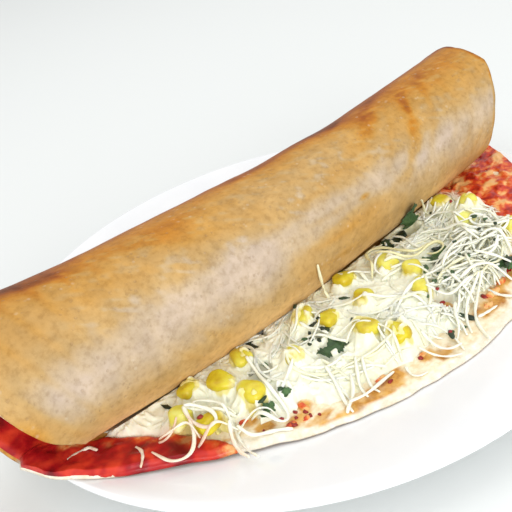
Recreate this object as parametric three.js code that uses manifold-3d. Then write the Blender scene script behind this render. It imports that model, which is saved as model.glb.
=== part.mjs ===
// A crisp dosa rolled over sauce, grated cheese, sweet corn and herbs, on a round white plate.
// Millimetres, +Z up. The origin is the middle of the plate's flat underside.
// +X runs along the roll to its far end, and -Y points to the open flap with the toppings.
import * as THREE from "three";
import { mergeVertices } from "three/addons/utils/BufferGeometryUtils.js";
import Module from "manifold-3d";

const wasm = await Module();
wasm.setup();

// Driving dimensions of the plate
const PLATE_RADIUS = 130;
const FOOT_RADIUS = 70;
const WELL_RADIUS = 84;
const WELL_HEIGHT = 5.5;
const WELL_SOFTNESS = 6;
const BORDER_SLOPE = 0.228;
const PLATE_THICKNESS = 4.6;
const RIM_THICKNESS = 3.2;
const RIM_WIDTH = 3;
const RIM_ROUNDING = 0.9;
const FOOT_WIDTH = 5;
const FOOT_HEIGHT = 0.7;
const UNDERSIDE_RADII = [90, 108, 122];
const UNDERSIDE_THINNING = 0.02;
const TOP_RADII = [112, 98, 90, 84, 78, 70, 0];
const PLATE_SIDES = 56;

// Driving dimensions of the dosa
const DOSA_THICKNESS = 2;
const EDGE_THICKNESS = 1.2;
const ROLL_RADIUS = 28.5;
const ROLL_TAPER = -0.017;
const ROLL_AXIS_Y = -5.2;
const ROLL_CLEARANCE = 8.7;
const ROLL_SAG = 8;
const SAG_SPAN = 135;
const ROLL_END_ANGLE = 460;
const TUCK_START = 315;
const TUCK_DEPTH = 4.2;
const INNER_TIGHTENING = 1.4;
const HALF_LENGTH = 136.5;
const WIDEST_ANGLE = 105;
const DISC_ANGLE = 380;
const FULL_TURN = 360;
const TIGHTENING_TURN = 100;
const ROLL_MIDDLE = -5;
const ROLL_SHIFT = -4.5;
const SHIFT_OVER = 150;
const SHIFT_BACK = [280, 315];
const FRONT_DROOP = 1;
const DROOP_START = 30;
const DROOP_END = 92;
const RIPPLE_HEIGHT = 0.35;
const RIPPLE_LENGTH = 31;
const RIPPLE_WIDTH = 17;
const DENT_DEPTH = 0.5;
const DENT_LENGTH = 24;
const EDGE_THINS_FROM = 0.9;
const RESTING_GAP = 0.35;
const DOSA_COLUMNS = 20;
const DOSA_ROWS = 46;

// Gaps and layers above the flap
const GAP = 0.35;
const SAUCE_THICKNESS = 0.8;
const SAUCE_MARGIN = 6;
const FLAP_DEPTH = 80;
const SAUCE_END_ANGLE = 118;
const SAUCE_COLUMNS = 20;
const SAUCE_ROWS = 12;
const SAUCE_WIDTH = 0.975;
const SAUCE_WAVE = 0.01;
const SAUCE_WAVES = [29, 11];
const NARROW_MARGIN = 0.35;
const MARGIN_WIDENS = [0.15, 0.5];
const MARGIN_WAVE = 0.6;
const CHEESE_EDGE = 0.9;
const CHEESE_RISE = 1.7;
const CHEESE_LUMPS = 0.7;
const LUMP_LENGTH = 4.1;
const LUMP_WIDTH = 4.7;
const LUMP_SLANTS = [9, 13];
const CHEESE_RAMP_BACK = 6;
const CHEESE_RAMP_SIDE = 9;
const CHEESE_BACK_Y = -21.5;
const CHEESE_COLUMNS = 22;
const CHEESE_ROWS = 7;
const SHRED_RADIUS = 1.2;
const SHRED_LENGTH = 20;
const SHRED_COUNT = 38;
const SHRED_STRETCHES = 4;
const SHRED_STEPS = 6;
const SHRED_ARCH = 4.4;
const SHRED_SINK = 0.5;
const SHRED_ROOM = 2.8;
const SHRED_CURL = 1.5;
const SHRED_LEAST = 0.7;
const SHRED_VARIETY = 0.6;
const SHRED_STARTS = [0.06, 0.92];
const HEAP_ENDS = [0.03, 0.97];
const SHRED_BITE = 0.1;
const SHRED_SEED = 41;
const SHRED_TRIES = 300;
const SHRED_PLACES = 14;
const ROLL_GAP = 0.6;
const SLIDE_STEP = 0.5;
const SLIDE_TRIES = 30;

// Sizes of the kernels and leaves
const KERNEL_LENGTH = 10.4;
const KERNEL_WIDTH = 8.4;
const KERNEL_HEIGHT = 6;
const KERNEL_UNEVENNESS = 0.16;
const KERNEL_TAPER = 0.55;
const KERNEL_SQUARENESS = 0.8;
const KERNEL_TILT = 0.5;
const KERNEL_SIDES = 8;
const KERNEL_RINGS = 6;
const KERNEL_NARROWS = [-0.1, 0.5];
const KERNEL_TIP_HEIGHT = 0.4;
const KERNEL_SEED = 7;
const LEAF_THICKNESS = 0.6;
const LEAF_SPREAD = 0.34;
const LEAF_WAVE = 0.7;
const LOBE_DEPTH = 0.28;
const LOBE_PITCH = 15;
const LOBE_START = 0.6;
const LEAF_TIPS = [0.06, 0.94];
const LEAF_FULLNESS = 0.7;
const LEAF_WAVE_PITCH = 5;
const LEAF_COLUMNS = 6;
const LEAF_ROWS = 4;

// Colour and roughness of each material
const GLAZE = { color: "#f6f7f8", roughness: 0.2, metalness: 0 };
const CRUST = { color: "#cfa56a", roughness: 0.55, metalness: 0 };
const CHUTNEY = { color: "#b8241a", roughness: 0.25, metalness: 0 };
const WHITE_CHEESE = { color: "#f4f1dc", roughness: 0.45, metalness: 0 };
const SWEET_CORN = { color: "#eecb28", roughness: 0.3, metalness: 0 };
const HERB = { color: "#2c5234", roughness: 0.5, metalness: 0 };

const RADIANS = Math.PI / 180;
const MERGE_DISTANCE = 1e-4;
const ABOVE_ALL = 200;
const UP = new THREE.Vector3(0, 0, 1);

// Constants of the random draws, which come in a fixed order
const DRAW_STEP = 0x6d2b79f5;
const DRAW_SHIFTS = [15, 7, 14];
const DRAW_ODD = 61;
const DRAW_RANGE = 2 ** 32;

// Returns numbers from 0 to 1 in a fixed order
function seeded(seed) {
  const [first, second, third] = DRAW_SHIFTS;
  let state = seed;
  return () => {
    state = (state + DRAW_STEP) | 0;
    let mixed = Math.imul(state ^ (state >>> first), 1 | state);
    mixed = (mixed + Math.imul(mixed ^ (mixed >>> second), DRAW_ODD | mixed)) ^ mixed;
    return ((mixed ^ (mixed >>> third)) >>> 0) / DRAW_RANGE;
  };
}

// Reads a table of angles and values between its rows, and holds the first and last value
function readTable(table, angle) {
  const after = table.findIndex((row) => row[0] > angle);
  if (after === 0) {
    return table[0][1];
  }
  if (after < 0) {
    return table[table.length - 1][1];
  }
  const [low, high] = [table[after - 1], table[after]];
  return THREE.MathUtils.mapLinear(angle, low[0], high[0], low[1], high[1]);
}

// Top of the plate at a distance from its middle
function plateTop(distance) {
  const past = distance - WELL_RADIUS;
  return WELL_HEIGHT + (BORDER_SLOPE * (Math.hypot(past, WELL_SOFTNESS) + past)) / 2;
}

function plateShape() {
  const profile = [
    new THREE.Vector2(0, 0),
    new THREE.Vector2(FOOT_RADIUS, 0),
    new THREE.Vector2(FOOT_RADIUS + FOOT_WIDTH, FOOT_HEIGHT),
  ];
  const rimTop = plateTop(PLATE_RADIUS - RIM_WIDTH);
  for (const radius of UNDERSIDE_RADII) {
    const under = plateTop(radius) - PLATE_THICKNESS;
    const thinner = (radius - UNDERSIDE_RADII[0]) * UNDERSIDE_THINNING;
    profile.push(new THREE.Vector2(radius, under + thinner));
  }
  const rimUnder = rimTop - RIM_THICKNESS + RIM_ROUNDING;
  profile.push(new THREE.Vector2(PLATE_RADIUS - 2 * RIM_ROUNDING, rimUnder));
  profile.push(new THREE.Vector2(PLATE_RADIUS, rimTop - RIM_ROUNDING));
  profile.push(new THREE.Vector2(PLATE_RADIUS - RIM_ROUNDING, rimTop));
  profile.push(new THREE.Vector2(PLATE_RADIUS - RIM_WIDTH, rimTop));
  for (const radius of TOP_RADII) {
    profile.push(new THREE.Vector2(radius, plateTop(radius)));
  }
  const plate = new THREE.LatheGeometry(profile, PLATE_SIDES);
  plate.rotateX(Math.PI / 2);
  return plate;
}

// Closed plate-like solid over a grid: place(u, v, side) gives a point of its lower or upper face
function slab(columns, rows, place) {
  const positions = [];
  const index = [];
  const at = (i, j, side) => (side * (rows + 1) + j) * (columns + 1) + i;
  const quad = (a, b, c, d) => index.push(a, b, c, a, c, d);
  for (const side of [0, 1]) {
    for (let j = 0; j <= rows; j += 1) {
      for (let i = 0; i <= columns; i += 1) {
        positions.push(...place(i / columns, j / rows, side));
      }
    }
  }
  for (let j = 0; j < rows; j += 1) {
    for (let i = 0; i < columns; i += 1) {
      quad(at(i, j, 1), at(i + 1, j, 1), at(i + 1, j + 1, 1), at(i, j + 1, 1));
      index.push(at(i, j, 0), at(i + 1, j + 1, 0), at(i + 1, j, 0));
      index.push(at(i, j, 0), at(i, j + 1, 0), at(i + 1, j + 1, 0));
    }
  }
  for (let i = 0; i < columns; i += 1) {
    quad(at(i, 0, 0), at(i + 1, 0, 0), at(i + 1, 0, 1), at(i, 0, 1));
    quad(at(i + 1, rows, 0), at(i, rows, 0), at(i, rows, 1), at(i + 1, rows, 1));
  }
  for (let j = 0; j < rows; j += 1) {
    quad(at(0, j + 1, 0), at(0, j, 0), at(0, j, 1), at(0, j + 1, 1));
    quad(at(columns, j, 0), at(columns, j + 1, 0), at(columns, j + 1, 1), at(columns, j, 1));
  }
  const geometry = new THREE.BufferGeometry();
  geometry.setAttribute("position", new THREE.Float32BufferAttribute(positions, 3));
  geometry.setIndex(index);
  return geometry;
}

// Underside of the open flap: it bridges the well and rests on the border
function flapUnder(x, y) {
  const bridge = ROLL_CLEARANCE + ROLL_SAG * (x / SAG_SPAN) ** 2;
  const droop = FRONT_DROOP * THREE.MathUtils.smoothstep(-y, DROOP_START, DROOP_END);
  const ripple = RIPPLE_HEIGHT * Math.sin(x / RIPPLE_LENGTH + 1) * Math.sin(y / RIPPLE_WIDTH);
  const rest = plateTop(Math.min(Math.hypot(x, y), PLATE_RADIUS)) + RESTING_GAP;
  return Math.max(rest, bridge - droop + ripple);
}

function flapTop(x, y) {
  return flapUnder(x, y) + DOSA_THICKNESS;
}

function rollRadius(x) {
  return ROLL_RADIUS + ROLL_TAPER * x;
}

function rollAxisZ(x) {
  return flapUnder(x, ROLL_AXIS_Y) + rollRadius(x);
}

// Front edge of the flap, from the roll's left end round to its right end
const flapEdge = new THREE.SplineCurve([
  new THREE.Vector2(-137, -8),
  new THREE.Vector2(-127, -28),
  new THREE.Vector2(-100, -50),
  new THREE.Vector2(-58, -77),
  new THREE.Vector2(-18, -92),
  new THREE.Vector2(22, -95.5),
  new THREE.Vector2(64, -83),
  new THREE.Vector2(98, -58),
  new THREE.Vector2(118, -33),
  new THREE.Vector2(127, -10),
]);

// How far each uneven end stands out along X, at angles round the roll from its bottom
const RIGHT_END = [
  [165, 0], [180, -1.4], [194, -0.6], [205, 0.5], [216, 2.1], [226, 0.5], [236, -0.7],
  [246, -1.2], [260, -1.9], [277, -1.2], [291, -0.5], [305, 0],
];
const LEFT_END = [
  [215, 0], [240, -1.8], [253, -2.3], [265, -1.4], [279, 0], [293, 1.7], [301, 2.4], [318, 0],
];
const END_REACH = 8;

// Where the sheet lies across the roll at an angle from the bottom, which turns up the back
function rollX(across, angle) {
  const swing = (angle - WIDEST_ANGLE) / DISC_ANGLE;
  const half = HALF_LENGTH * Math.sqrt(1 - swing * swing);
  const upTheBack = THREE.MathUtils.smoothstep(angle, 0, SHIFT_OVER);
  const downTheFront = THREE.MathUtils.smoothstep(angle, ...SHIFT_BACK);
  const uneven = readTable(across > 0 ? RIGHT_END : LEFT_END, angle) * across ** END_REACH;
  const middle = ROLL_MIDDLE + ROLL_SHIFT * (upTheBack - downTheFront);
  return middle + half * across + uneven;
}

// Underside of the whole sheet. along runs from 0 to 1 over the flap and then on round the roll.
function sheetPoint(across, along) {
  if (along <= 1) {
    const edge = flapEdge.getPointAt((across + 1) / 2);
    const x = THREE.MathUtils.lerp(edge.x, rollX(across, 0), along);
    const y = THREE.MathUtils.lerp(edge.y, ROLL_AXIS_Y, along);
    return new THREE.Vector3(x, y, flapUnder(x, y));
  }
  const angle = (along - 1) * ROLL_END_ANGLE;
  const x = rollX(across, angle);
  const tuck = TUCK_DEPTH * THREE.MathUtils.smoothstep(angle, TUCK_START, FULL_TURN);
  const tightening = INNER_TIGHTENING * Math.max(0, (angle - FULL_TURN) / TIGHTENING_TURN);
  const dent = DENT_DEPTH * Math.sin(x / DENT_LENGTH) * Math.sin(angle * RADIANS * 2) ** 2;
  const radius = rollRadius(x) - tuck - tightening - dent;
  const y = ROLL_AXIS_Y + radius * Math.sin(angle * RADIANS);
  return new THREE.Vector3(x, y, rollAxisZ(x) - radius * Math.cos(angle * RADIANS));
}

const NORMAL_STEP = 0.002;

// Direction from the underside through the sheet to its filled face
function sheetNormal(across, along) {
  const step = NORMAL_STEP;
  const side = Math.min(1 - step, Math.max(-1 + step, across));
  const way = Math.min(2 - step, Math.max(step, along));
  const alongX = sheetPoint(side + step, way).sub(sheetPoint(side - step, way));
  const alongY = sheetPoint(side, way + step).sub(sheetPoint(side, way - step));
  return alongX.cross(alongY).normalize();
}

function sheetLayer(across, along, height) {
  return sheetPoint(across, along).addScaledVector(sheetNormal(across, along), height);
}

// Shares of the dosa's and the sauce's rows that the flap takes
const FLAP_SHARE = 0.22;
const SAUCE_FLAP_SHARE = 0.55;

function alongOf(v, last) {
  if (v <= FLAP_SHARE) {
    return v / FLAP_SHARE;
  }
  return 1 + ((last - 1) * (v - FLAP_SHARE)) / (1 - FLAP_SHARE);
}

function dosaShape() {
  return slab(DOSA_COLUMNS, DOSA_ROWS, (u, v, side) => {
    const nearEnd = Math.max(Math.abs(2 * u - 1), Math.abs(2 * v - 1));
    const thin = THREE.MathUtils.smoothstep(nearEnd, EDGE_THINS_FROM, 1);
    const thickness = THREE.MathUtils.lerp(DOSA_THICKNESS, EDGE_THICKNESS, thin);
    return sheetLayer(2 * u - 1, alongOf(v, 2), side * thickness);
  });
}

// Film of sauce on the filled face, under the roll and up its inner back wall
function sauceShape() {
  const lastAlong = 1 + SAUCE_END_ANGLE / ROLL_END_ANGLE;
  return slab(SAUCE_COLUMNS, SAUCE_ROWS, (u, v, side) => {
    const wave = 0.5 + 0.5 * Math.sin(u * SAUCE_WAVES[0]) * Math.cos(u * SAUCE_WAVES[1]);
    const widening = THREE.MathUtils.smoothstep(u, ...MARGIN_WIDENS);
    const margin = SAUCE_MARGIN * THREE.MathUtils.lerp(NARROW_MARGIN, 1, widening);
    const start = (margin / FLAP_DEPTH) * (1 + MARGIN_WAVE * (wave - 0.5));
    const across = (2 * u - 1) * (SAUCE_WIDTH - SAUCE_WAVE * wave);
    let along = start + ((1 - start) * v) / SAUCE_FLAP_SHARE;
    if (v > SAUCE_FLAP_SHARE) {
      along = 1 + ((lastAlong - 1) * (v - SAUCE_FLAP_SHARE)) / (1 - SAUCE_FLAP_SHARE);
    }
    return sheetLayer(across, along, DOSA_THICKNESS + GAP + side * SAUCE_THICKNESS);
  });
}

// Front edge of the cheese heap, from its left tip to its right tip
const cheeseFront = new THREE.SplineCurve([
  new THREE.Vector2(-108, -25),
  new THREE.Vector2(-96, -42),
  new THREE.Vector2(-78, -58),
  new THREE.Vector2(-50, -73),
  new THREE.Vector2(-12, -84),
  new THREE.Vector2(22, -86),
  new THREE.Vector2(56, -76),
  new THREE.Vector2(78, -52),
  new THREE.Vector2(86, -26),
]);

function cheeseBase(x, y) {
  return flapTop(x, y) + 2 * GAP + SAUCE_THICKNESS;
}

// Height of the cheese above its base: low at the edges and lumpy between
function cheeseHeight(x, y, inside) {
  const [first, second] = LUMP_SLANTS;
  const lumps = Math.sin(x / LUMP_LENGTH + y / first) * Math.sin(y / LUMP_WIDTH - x / second);
  return CHEESE_EDGE + inside * (CHEESE_RISE + CHEESE_LUMPS * lumps);
}

function cheeseCorePoint(u, v, side) {
  const front = cheeseFront.getPointAt(u);
  const x = front.x;
  const y = THREE.MathUtils.lerp(front.y, CHEESE_BACK_Y, v);
  const fromBack = CHEESE_RAMP_BACK * Math.min(v, 1 - v);
  const fromSide = CHEESE_RAMP_SIDE * Math.min(u, 1 - u);
  const inside = Math.min(1, fromBack, fromSide);
  return new THREE.Vector3(x, y, cheeseBase(x, y) + side * cheeseHeight(x, y, inside));
}

// Where each kernel lies on the flap: its middle and the way it points, in degrees
const KERNELS = [
  [-79, -32, 10], [-90.5, -42.5, 40], [-84.5, -51.5, 0], [-69.3, -39, 120], [-66, -51, 105],
  [-56, -33.5, 80], [-44, -50, 50], [-26, -36, 30], [-20.5, -44.5, 15], [2, -32, 5],
  [-4, -47.5, 35], [-18, -61, 75], [-13, -71.5, 80], [20, -52.5, 50], [13.4, -61.8, 50],
  [66, -29, 95], [70, -43.5, 20], [59, -50, 160], [19, -40, 70], [64, -69, 40],
];

// Where each herb leaf lies: its middle, the way it points, its length and how steeply it stands
const LEAVES = [
  [46.5, -31, -90, 16, 66], [36, -28, 5, 13, 0], [35, -53, -20, 15, 0], [-31, -56, -15, 13, 0],
  [-56, -44.5, 20, 9, 0], [-57, -58, 60, 6.5, 0], [-45, -28, 20, 10, 0], [-67, -60, 10, 7, 0],
  [44, -78, 130, 12, 0],
];

// Lowers or lifts a solid until its closest corner is just clear of the surface under it
function settle(geometry, surface) {
  const points = geometry.attributes.position;
  let lift = -Infinity;
  for (let i = 0; i < points.count; i += 1) {
    const z = surface(points.getX(i), points.getY(i));
    lift = Math.max(lift, z + GAP - points.getZ(i));
  }
  geometry.translate(0, 0, lift);
}

function clearOfRoll(x, y, z, gap) {
  const away = Math.hypot(y - ROLL_AXIS_Y, z - rollAxisZ(x));
  return away > rollRadius(x) + gap;
}

function slideOffRoll(geometry, surface) {
  settle(geometry, surface);
  const points = geometry.attributes.position;
  for (let tries = 0; tries < SLIDE_TRIES; tries += 1) {
    let clear = true;
    for (let i = 0; i < points.count; i += 1) {
      clear &&= clearOfRoll(points.getX(i), points.getY(i), points.getZ(i), ROLL_GAP);
    }
    if (clear) {
      return;
    }
    geometry.translate(0, -SLIDE_STEP, 0);
    settle(geometry, surface);
  }
}

// Kernel cut from the cob: a rounded crown that narrows to the cut tip
function kernelShape(random) {
  const kernel = new THREE.SphereGeometry(0.5, KERNEL_SIDES, KERNEL_RINGS);
  kernel.rotateX(Math.PI / 2);
  kernel.deleteAttribute("normal");
  kernel.deleteAttribute("uv");
  const solid = mergeVertices(kernel);
  const points = solid.attributes.position;
  const size = 1 + KERNEL_UNEVENNESS * (random() - 0.5);
  for (let i = 0; i < points.count; i += 1) {
    const x = points.getX(i);
    const narrowing = 1 - KERNEL_TAPER * THREE.MathUtils.smoothstep(-x, ...KERNEL_NARROWS);
    const lowering = THREE.MathUtils.lerp(KERNEL_TIP_HEIGHT, 1, narrowing);
    const square = (value) => (Math.sign(value) * Math.abs(2 * value) ** KERNEL_SQUARENESS) / 2;
    points.setXYZ(
      i,
      square(x) * KERNEL_LENGTH * size,
      square(points.getY(i)) * KERNEL_WIDTH * size * narrowing,
      square(points.getZ(i)) * KERNEL_HEIGHT * size * lowering,
    );
  }
  solid.rotateX((random() - 0.5) * KERNEL_TILT);
  solid.rotateY((random() - 0.5) * KERNEL_TILT);
  return solid;
}

// Lobed herb leaf: a thin wavy sheet that follows what it lies on, or stands up from it
function leafShape([x, y, turn, length, steepness], surface) {
  const phase = (x * x + y) % (2 * Math.PI);
  const flat = new THREE.Vector3(Math.cos(turn * RADIANS), Math.sin(turn * RADIANS), 0);
  const beside = new THREE.Vector3(-flat.y, flat.x, 0);
  const forward = flat.multiplyScalar(Math.cos(steepness * RADIANS));
  forward.z = Math.sin(steepness * RADIANS);
  const outward = forward.clone().cross(beside);
  return slab(LEAF_COLUMNS, LEAF_ROWS, (u, v, side) => {
    const lobes = 1 - LOBE_DEPTH + LOBE_DEPTH * Math.cos(u * LOBE_PITCH + LOBE_START);
    const taper = Math.sin(Math.PI * THREE.MathUtils.lerp(...LEAF_TIPS, u)) ** LEAF_FULLNESS;
    const half = length * LEAF_SPREAD * taper * lobes;
    const wave = LEAF_WAVE * (1 + Math.sin(phase + u * LEAF_WAVE_PITCH) * (2 * v - 1));
    const place = new THREE.Vector3(x, y, 0);
    place.addScaledVector(forward, (u - 0.5) * length);
    place.addScaledVector(beside, (2 * v - 1) * half);
    place.addScaledVector(outward, wave + side * LEAF_THICKNESS);
    if (steepness === 0) {
      place.z += surface(place.x, place.y) + GAP;
    }
    return place;
  });
}

function toManifold(geometry) {
  geometry.deleteAttribute("normal");
  geometry.deleteAttribute("uv");
  const merged = mergeVertices(geometry, MERGE_DISTANCE);
  return new wasm.Manifold(
    new wasm.Mesh({
      numProp: 3,
      vertProperties: merged.attributes.position.array,
      triVerts: new Uint32Array(merged.index.array),
    }),
  );
}

function fromManifold(solid) {
  const mesh = solid.getMesh();
  const geometry = new THREE.BufferGeometry();
  geometry.setAttribute("position", new THREE.BufferAttribute(mesh.vertProperties, 3));
  geometry.setIndex(new THREE.BufferAttribute(mesh.triVerts, 1));
  return geometry;
}

// Highest point of the cheese core's mesh under each point, read off its own faces
function surfaceOf(geometry) {
  const mesh = new THREE.Mesh(geometry, new THREE.MeshStandardMaterial({ side: THREE.DoubleSide }));
  const caster = new THREE.Raycaster();
  return (x, y) => {
    caster.set(new THREE.Vector3(x, y, ABOVE_ALL), UP.clone().negate());
    const hits = caster.intersectObject(mesh);
    return hits.length ? hits[0].point.z : cheeseBase(x, y);
  };
}

// Curly route of one shred over the heap, with both ends sunk in it
function shredPath(share, surface, random) {
  const start = cheeseCorePoint(share, THREE.MathUtils.lerp(...SHRED_STARTS, random()), 1);
  const length = SHRED_LENGTH * (SHRED_LEAST + SHRED_VARIETY * random());
  const bend = (random() - 0.5) * SHRED_CURL;
  const arch = SHRED_ARCH * (SHRED_LEAST + SHRED_VARIETY * random());
  const points = [];
  let heading = random() * 2 * Math.PI;
  let x = start.x;
  let y = start.y;
  for (let i = 0; i <= SHRED_STRETCHES; i += 1) {
    const rise = Math.sin((Math.PI * i) / SHRED_STRETCHES) * arch;
    points.push(new THREE.Vector3(x, y, surface(x, y) + rise - SHRED_SINK));
    heading += bend;
    x += (Math.cos(heading) * length) / SHRED_STRETCHES;
    y += (Math.sin(heading) * length) / SHRED_STRETCHES;
  }
  return new THREE.CatmullRomCurve3(points);
}

function shredShape(path) {
  const section = new THREE.Shape();
  for (const side of [0, 1, 2]) {
    const turn = (side * 2 * Math.PI) / 3;
    const x = SHRED_RADIUS * Math.cos(turn);
    const y = SHRED_RADIUS * Math.sin(turn);
    if (side === 0) {
      section.moveTo(x, y);
    } else {
      section.lineTo(x, y);
    }
  }
  return new THREE.ExtrudeGeometry(section, {
    steps: SHRED_STEPS,
    bevelEnabled: false,
    extrudePath: path,
  });
}

// Draws shreds along the heap and keeps those that are clear of the roll, corn and leaves
function scatterShreds(surface, neighbours) {
  const random = seeded(SHRED_SEED);
  const shreds = [];
  const deepEnough = SHRED_SINK + SHRED_RADIUS + SHRED_BITE;
  const onHeap = ({ x, y }) => surface(x, y) > cheeseBase(x, y) + deepEnough;
  const offRoll = ({ x, y, z }) => clearOfRoll(x, y, z, ROLL_GAP + SHRED_RADIUS);
  const free = (place) => neighbours.every((other) => other.distanceTo(place) > SHRED_ROOM);
  for (let share = 0; share < SHRED_COUNT; share += 1) {
    for (let tries = 0; tries < SHRED_TRIES; tries += 1) {
      const u = THREE.MathUtils.lerp(...HEAP_ENDS, (share + random()) / SHRED_COUNT);
      const path = shredPath(u, surface, random);
      const places = path.getPoints(SHRED_PLACES);
      if (places.every(onHeap) && places.every(offRoll) && places.every(free)) {
        shreds.push(toManifold(shredShape(path)));
        break;
      }
    }
  }
  return shreds;
}

function addNode(group, name, geometry, finish) {
  const mesh = new THREE.Mesh(geometry, new THREE.MeshStandardMaterial(finish));
  mesh.name = name;
  group.add(mesh);
}

// Corners of a solid, to test a shred against
function cornersOf(geometry) {
  const points = geometry.attributes.position;
  const corners = [];
  for (let i = 0; i < points.count; i += 1) {
    corners.push(new THREE.Vector3().fromBufferAttribute(points, i));
  }
  return corners;
}

const group = new THREE.Group();
addNode(group, "plate", plateShape(), GLAZE);
addNode(group, "dosa", dosaShape(), CRUST);
addNode(group, "sauce", sauceShape(), CHUTNEY);

const core = slab(CHEESE_COLUMNS, CHEESE_ROWS, cheeseCorePoint);
const cheeseSurface = surfaceOf(core);
const neighbours = [];

const kernelRandom = seeded(KERNEL_SEED);
KERNELS.forEach(([x, y, turn], index) => {
  const kernel = kernelShape(kernelRandom);
  kernel.rotateZ(turn * RADIANS);
  kernel.translate(x, y, 0);
  slideOffRoll(kernel, cheeseSurface);
  neighbours.push(...cornersOf(kernel));
  addNode(group, `corn_${String(index + 1).padStart(2, "0")}`, kernel, SWEET_CORN);
});

LEAVES.forEach((row, index) => {
  const leaf = leafShape(row, cheeseSurface);
  slideOffRoll(leaf, cheeseSurface);
  neighbours.push(...cornersOf(leaf));
  addNode(group, `leaf_${index + 1}`, leaf, HERB);
});

const heap = scatterShreds(cheeseSurface, neighbours);
const fused = wasm.Manifold.union([toManifold(core), ...heap]);
// Hollows that crossing shreds seal are filled, because only the outer skin is kept
const cheese = fused.decompose().sort((a, b) => b.volume() - a.volume())[0];
addNode(group, "cheese", fromManifold(cheese), WHITE_CHEESE);

export default group;
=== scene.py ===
import math
import bpy
import numpy as np
from mathutils import Matrix, Vector


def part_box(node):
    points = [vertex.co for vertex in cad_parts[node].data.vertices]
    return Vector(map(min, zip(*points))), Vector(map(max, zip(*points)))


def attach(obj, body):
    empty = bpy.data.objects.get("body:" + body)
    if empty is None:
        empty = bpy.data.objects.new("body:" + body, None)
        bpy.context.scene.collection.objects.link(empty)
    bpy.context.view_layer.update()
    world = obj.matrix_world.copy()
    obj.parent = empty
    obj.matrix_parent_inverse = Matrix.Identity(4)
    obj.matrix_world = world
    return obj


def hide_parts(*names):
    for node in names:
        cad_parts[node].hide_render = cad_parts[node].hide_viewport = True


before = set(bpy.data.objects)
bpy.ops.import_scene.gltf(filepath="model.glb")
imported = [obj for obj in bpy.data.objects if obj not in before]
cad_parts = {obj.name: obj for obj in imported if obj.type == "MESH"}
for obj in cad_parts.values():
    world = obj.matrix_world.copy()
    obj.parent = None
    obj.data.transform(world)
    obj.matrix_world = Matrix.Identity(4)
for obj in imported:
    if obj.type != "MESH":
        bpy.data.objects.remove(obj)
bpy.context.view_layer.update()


# The plate: a round white dinner plate of glazed porcelain, jiggered in one piece and fired.
# The well is nearly flat, the border rises gently, and the glaze rounds off the rim.
PLATE_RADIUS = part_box("plate")[1][0]
FOOT_RADIUS = 0.070
WELL_RADIUS = 0.084
WELL_HEIGHT = 0.0055
WELL_SOFTNESS = 0.006
BORDER_SLOPE = 0.228
PLATE_THICKNESS = 0.0044
RIM_ROUNDING = 0.0015
UNDERSIDE_RADII = (0.086, 0.127)
TOP_INNER_RADIUS = 0.060
PLATE_SIDES = 200
GLAZE_WHITE = (0.86, 0.87, 0.88, 1)
GLAZE_SHADE = (0.80, 0.82, 0.84, 1)


def plate_top(distance):
    past = distance - WELL_RADIUS
    return WELL_HEIGHT + BORDER_SLOPE * (np.hypot(past, WELL_SOFTNESS) + past) / 2


def build(name, points, faces):
    """A smooth mesh piece from its points and faces."""
    mesh = bpy.data.meshes.new(name)
    mesh.from_pydata(np.reshape(points, (-1, 3)).tolist(), [], [tuple(f) for f in faces])
    mesh.update()
    mesh.polygons.foreach_set("use_smooth", np.full(len(mesh.polygons), True))
    piece = bpy.data.objects.new(name, mesh)
    bpy.context.scene.collection.objects.link(piece)
    return piece


def turned(name, profile, sides):
    """A solid of revolution whose profile starts and ends on the axis."""
    angles = np.arange(sides) * 2 * math.pi / sides
    middle = np.array(profile[1:-1])
    ring = np.stack([np.cos(angles), np.sin(angles)], -1)
    points = [(0, 0, profile[0][1]), (0, 0, profile[-1][1])]
    for radius, z in middle:
        points += [(radius * c, radius * s, z) for c, s in ring]
    faces = []
    for k in range(sides):
        after = (k + 1) % sides
        faces.append((0, 2 + after, 2 + k))
        for level in range(len(middle) - 1):
            low, high = 2 + level * sides, 2 + (level + 1) * sides
            faces.append((low + k, low + after, high + after, high + k))
        last = 2 + (len(middle) - 1) * sides
        faces.append((1, last + k, last + after))
    return build(name, points, faces)


def finish_material(name, roughness, specular=0.5):
    """A new node material with its shader, ready for its colour and relief."""
    material = bpy.data.materials.new(name)
    material.use_nodes = True
    shader = material.node_tree.nodes["Principled BSDF"]
    shader.inputs["Roughness"].default_value = roughness
    shader.inputs["Specular IOR Level"].default_value = specular
    return material, shader


def node(material, kind, **inputs):
    made = material.node_tree.nodes.new(kind)
    for key, value in inputs.items():
        made.inputs[key.replace("_", " ")].default_value = value
    return made


def join(material, source, target):
    material.node_tree.links.new(source, target)


def ramp(material, factor, stops):
    """A colour ramp over a factor, with its stops as (place, colour)."""
    made = material.node_tree.nodes.new("ShaderNodeValToRGB")
    bar = made.color_ramp.elements
    while len(bar) < len(stops):
        bar.new(0.5)
    for stop, (place, colour) in zip(bar, stops):
        stop.position = place
        stop.color = colour
    join(material, factor, made.inputs["Fac"])
    return made.outputs["Color"]


def speckle(material, scale, detail=3.0, rough=0.55):
    """Noise over the piece's own coordinates, at a scale in cells a metre."""
    place = material.node_tree.nodes.new("ShaderNodeTexCoord")
    made = node(material, "ShaderNodeTexNoise", Scale=scale, Detail=detail, Roughness=rough)
    join(material, place.outputs["Object"], made.inputs["Vector"])
    return made.outputs["Fac"]


def relief(material, shader, height, distance, strength=1.0):
    bump = node(material, "ShaderNodeBump", Strength=strength, Distance=distance)
    join(material, height, bump.inputs["Height"])
    join(material, bump.outputs["Normal"], shader.inputs["Normal"])


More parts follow.
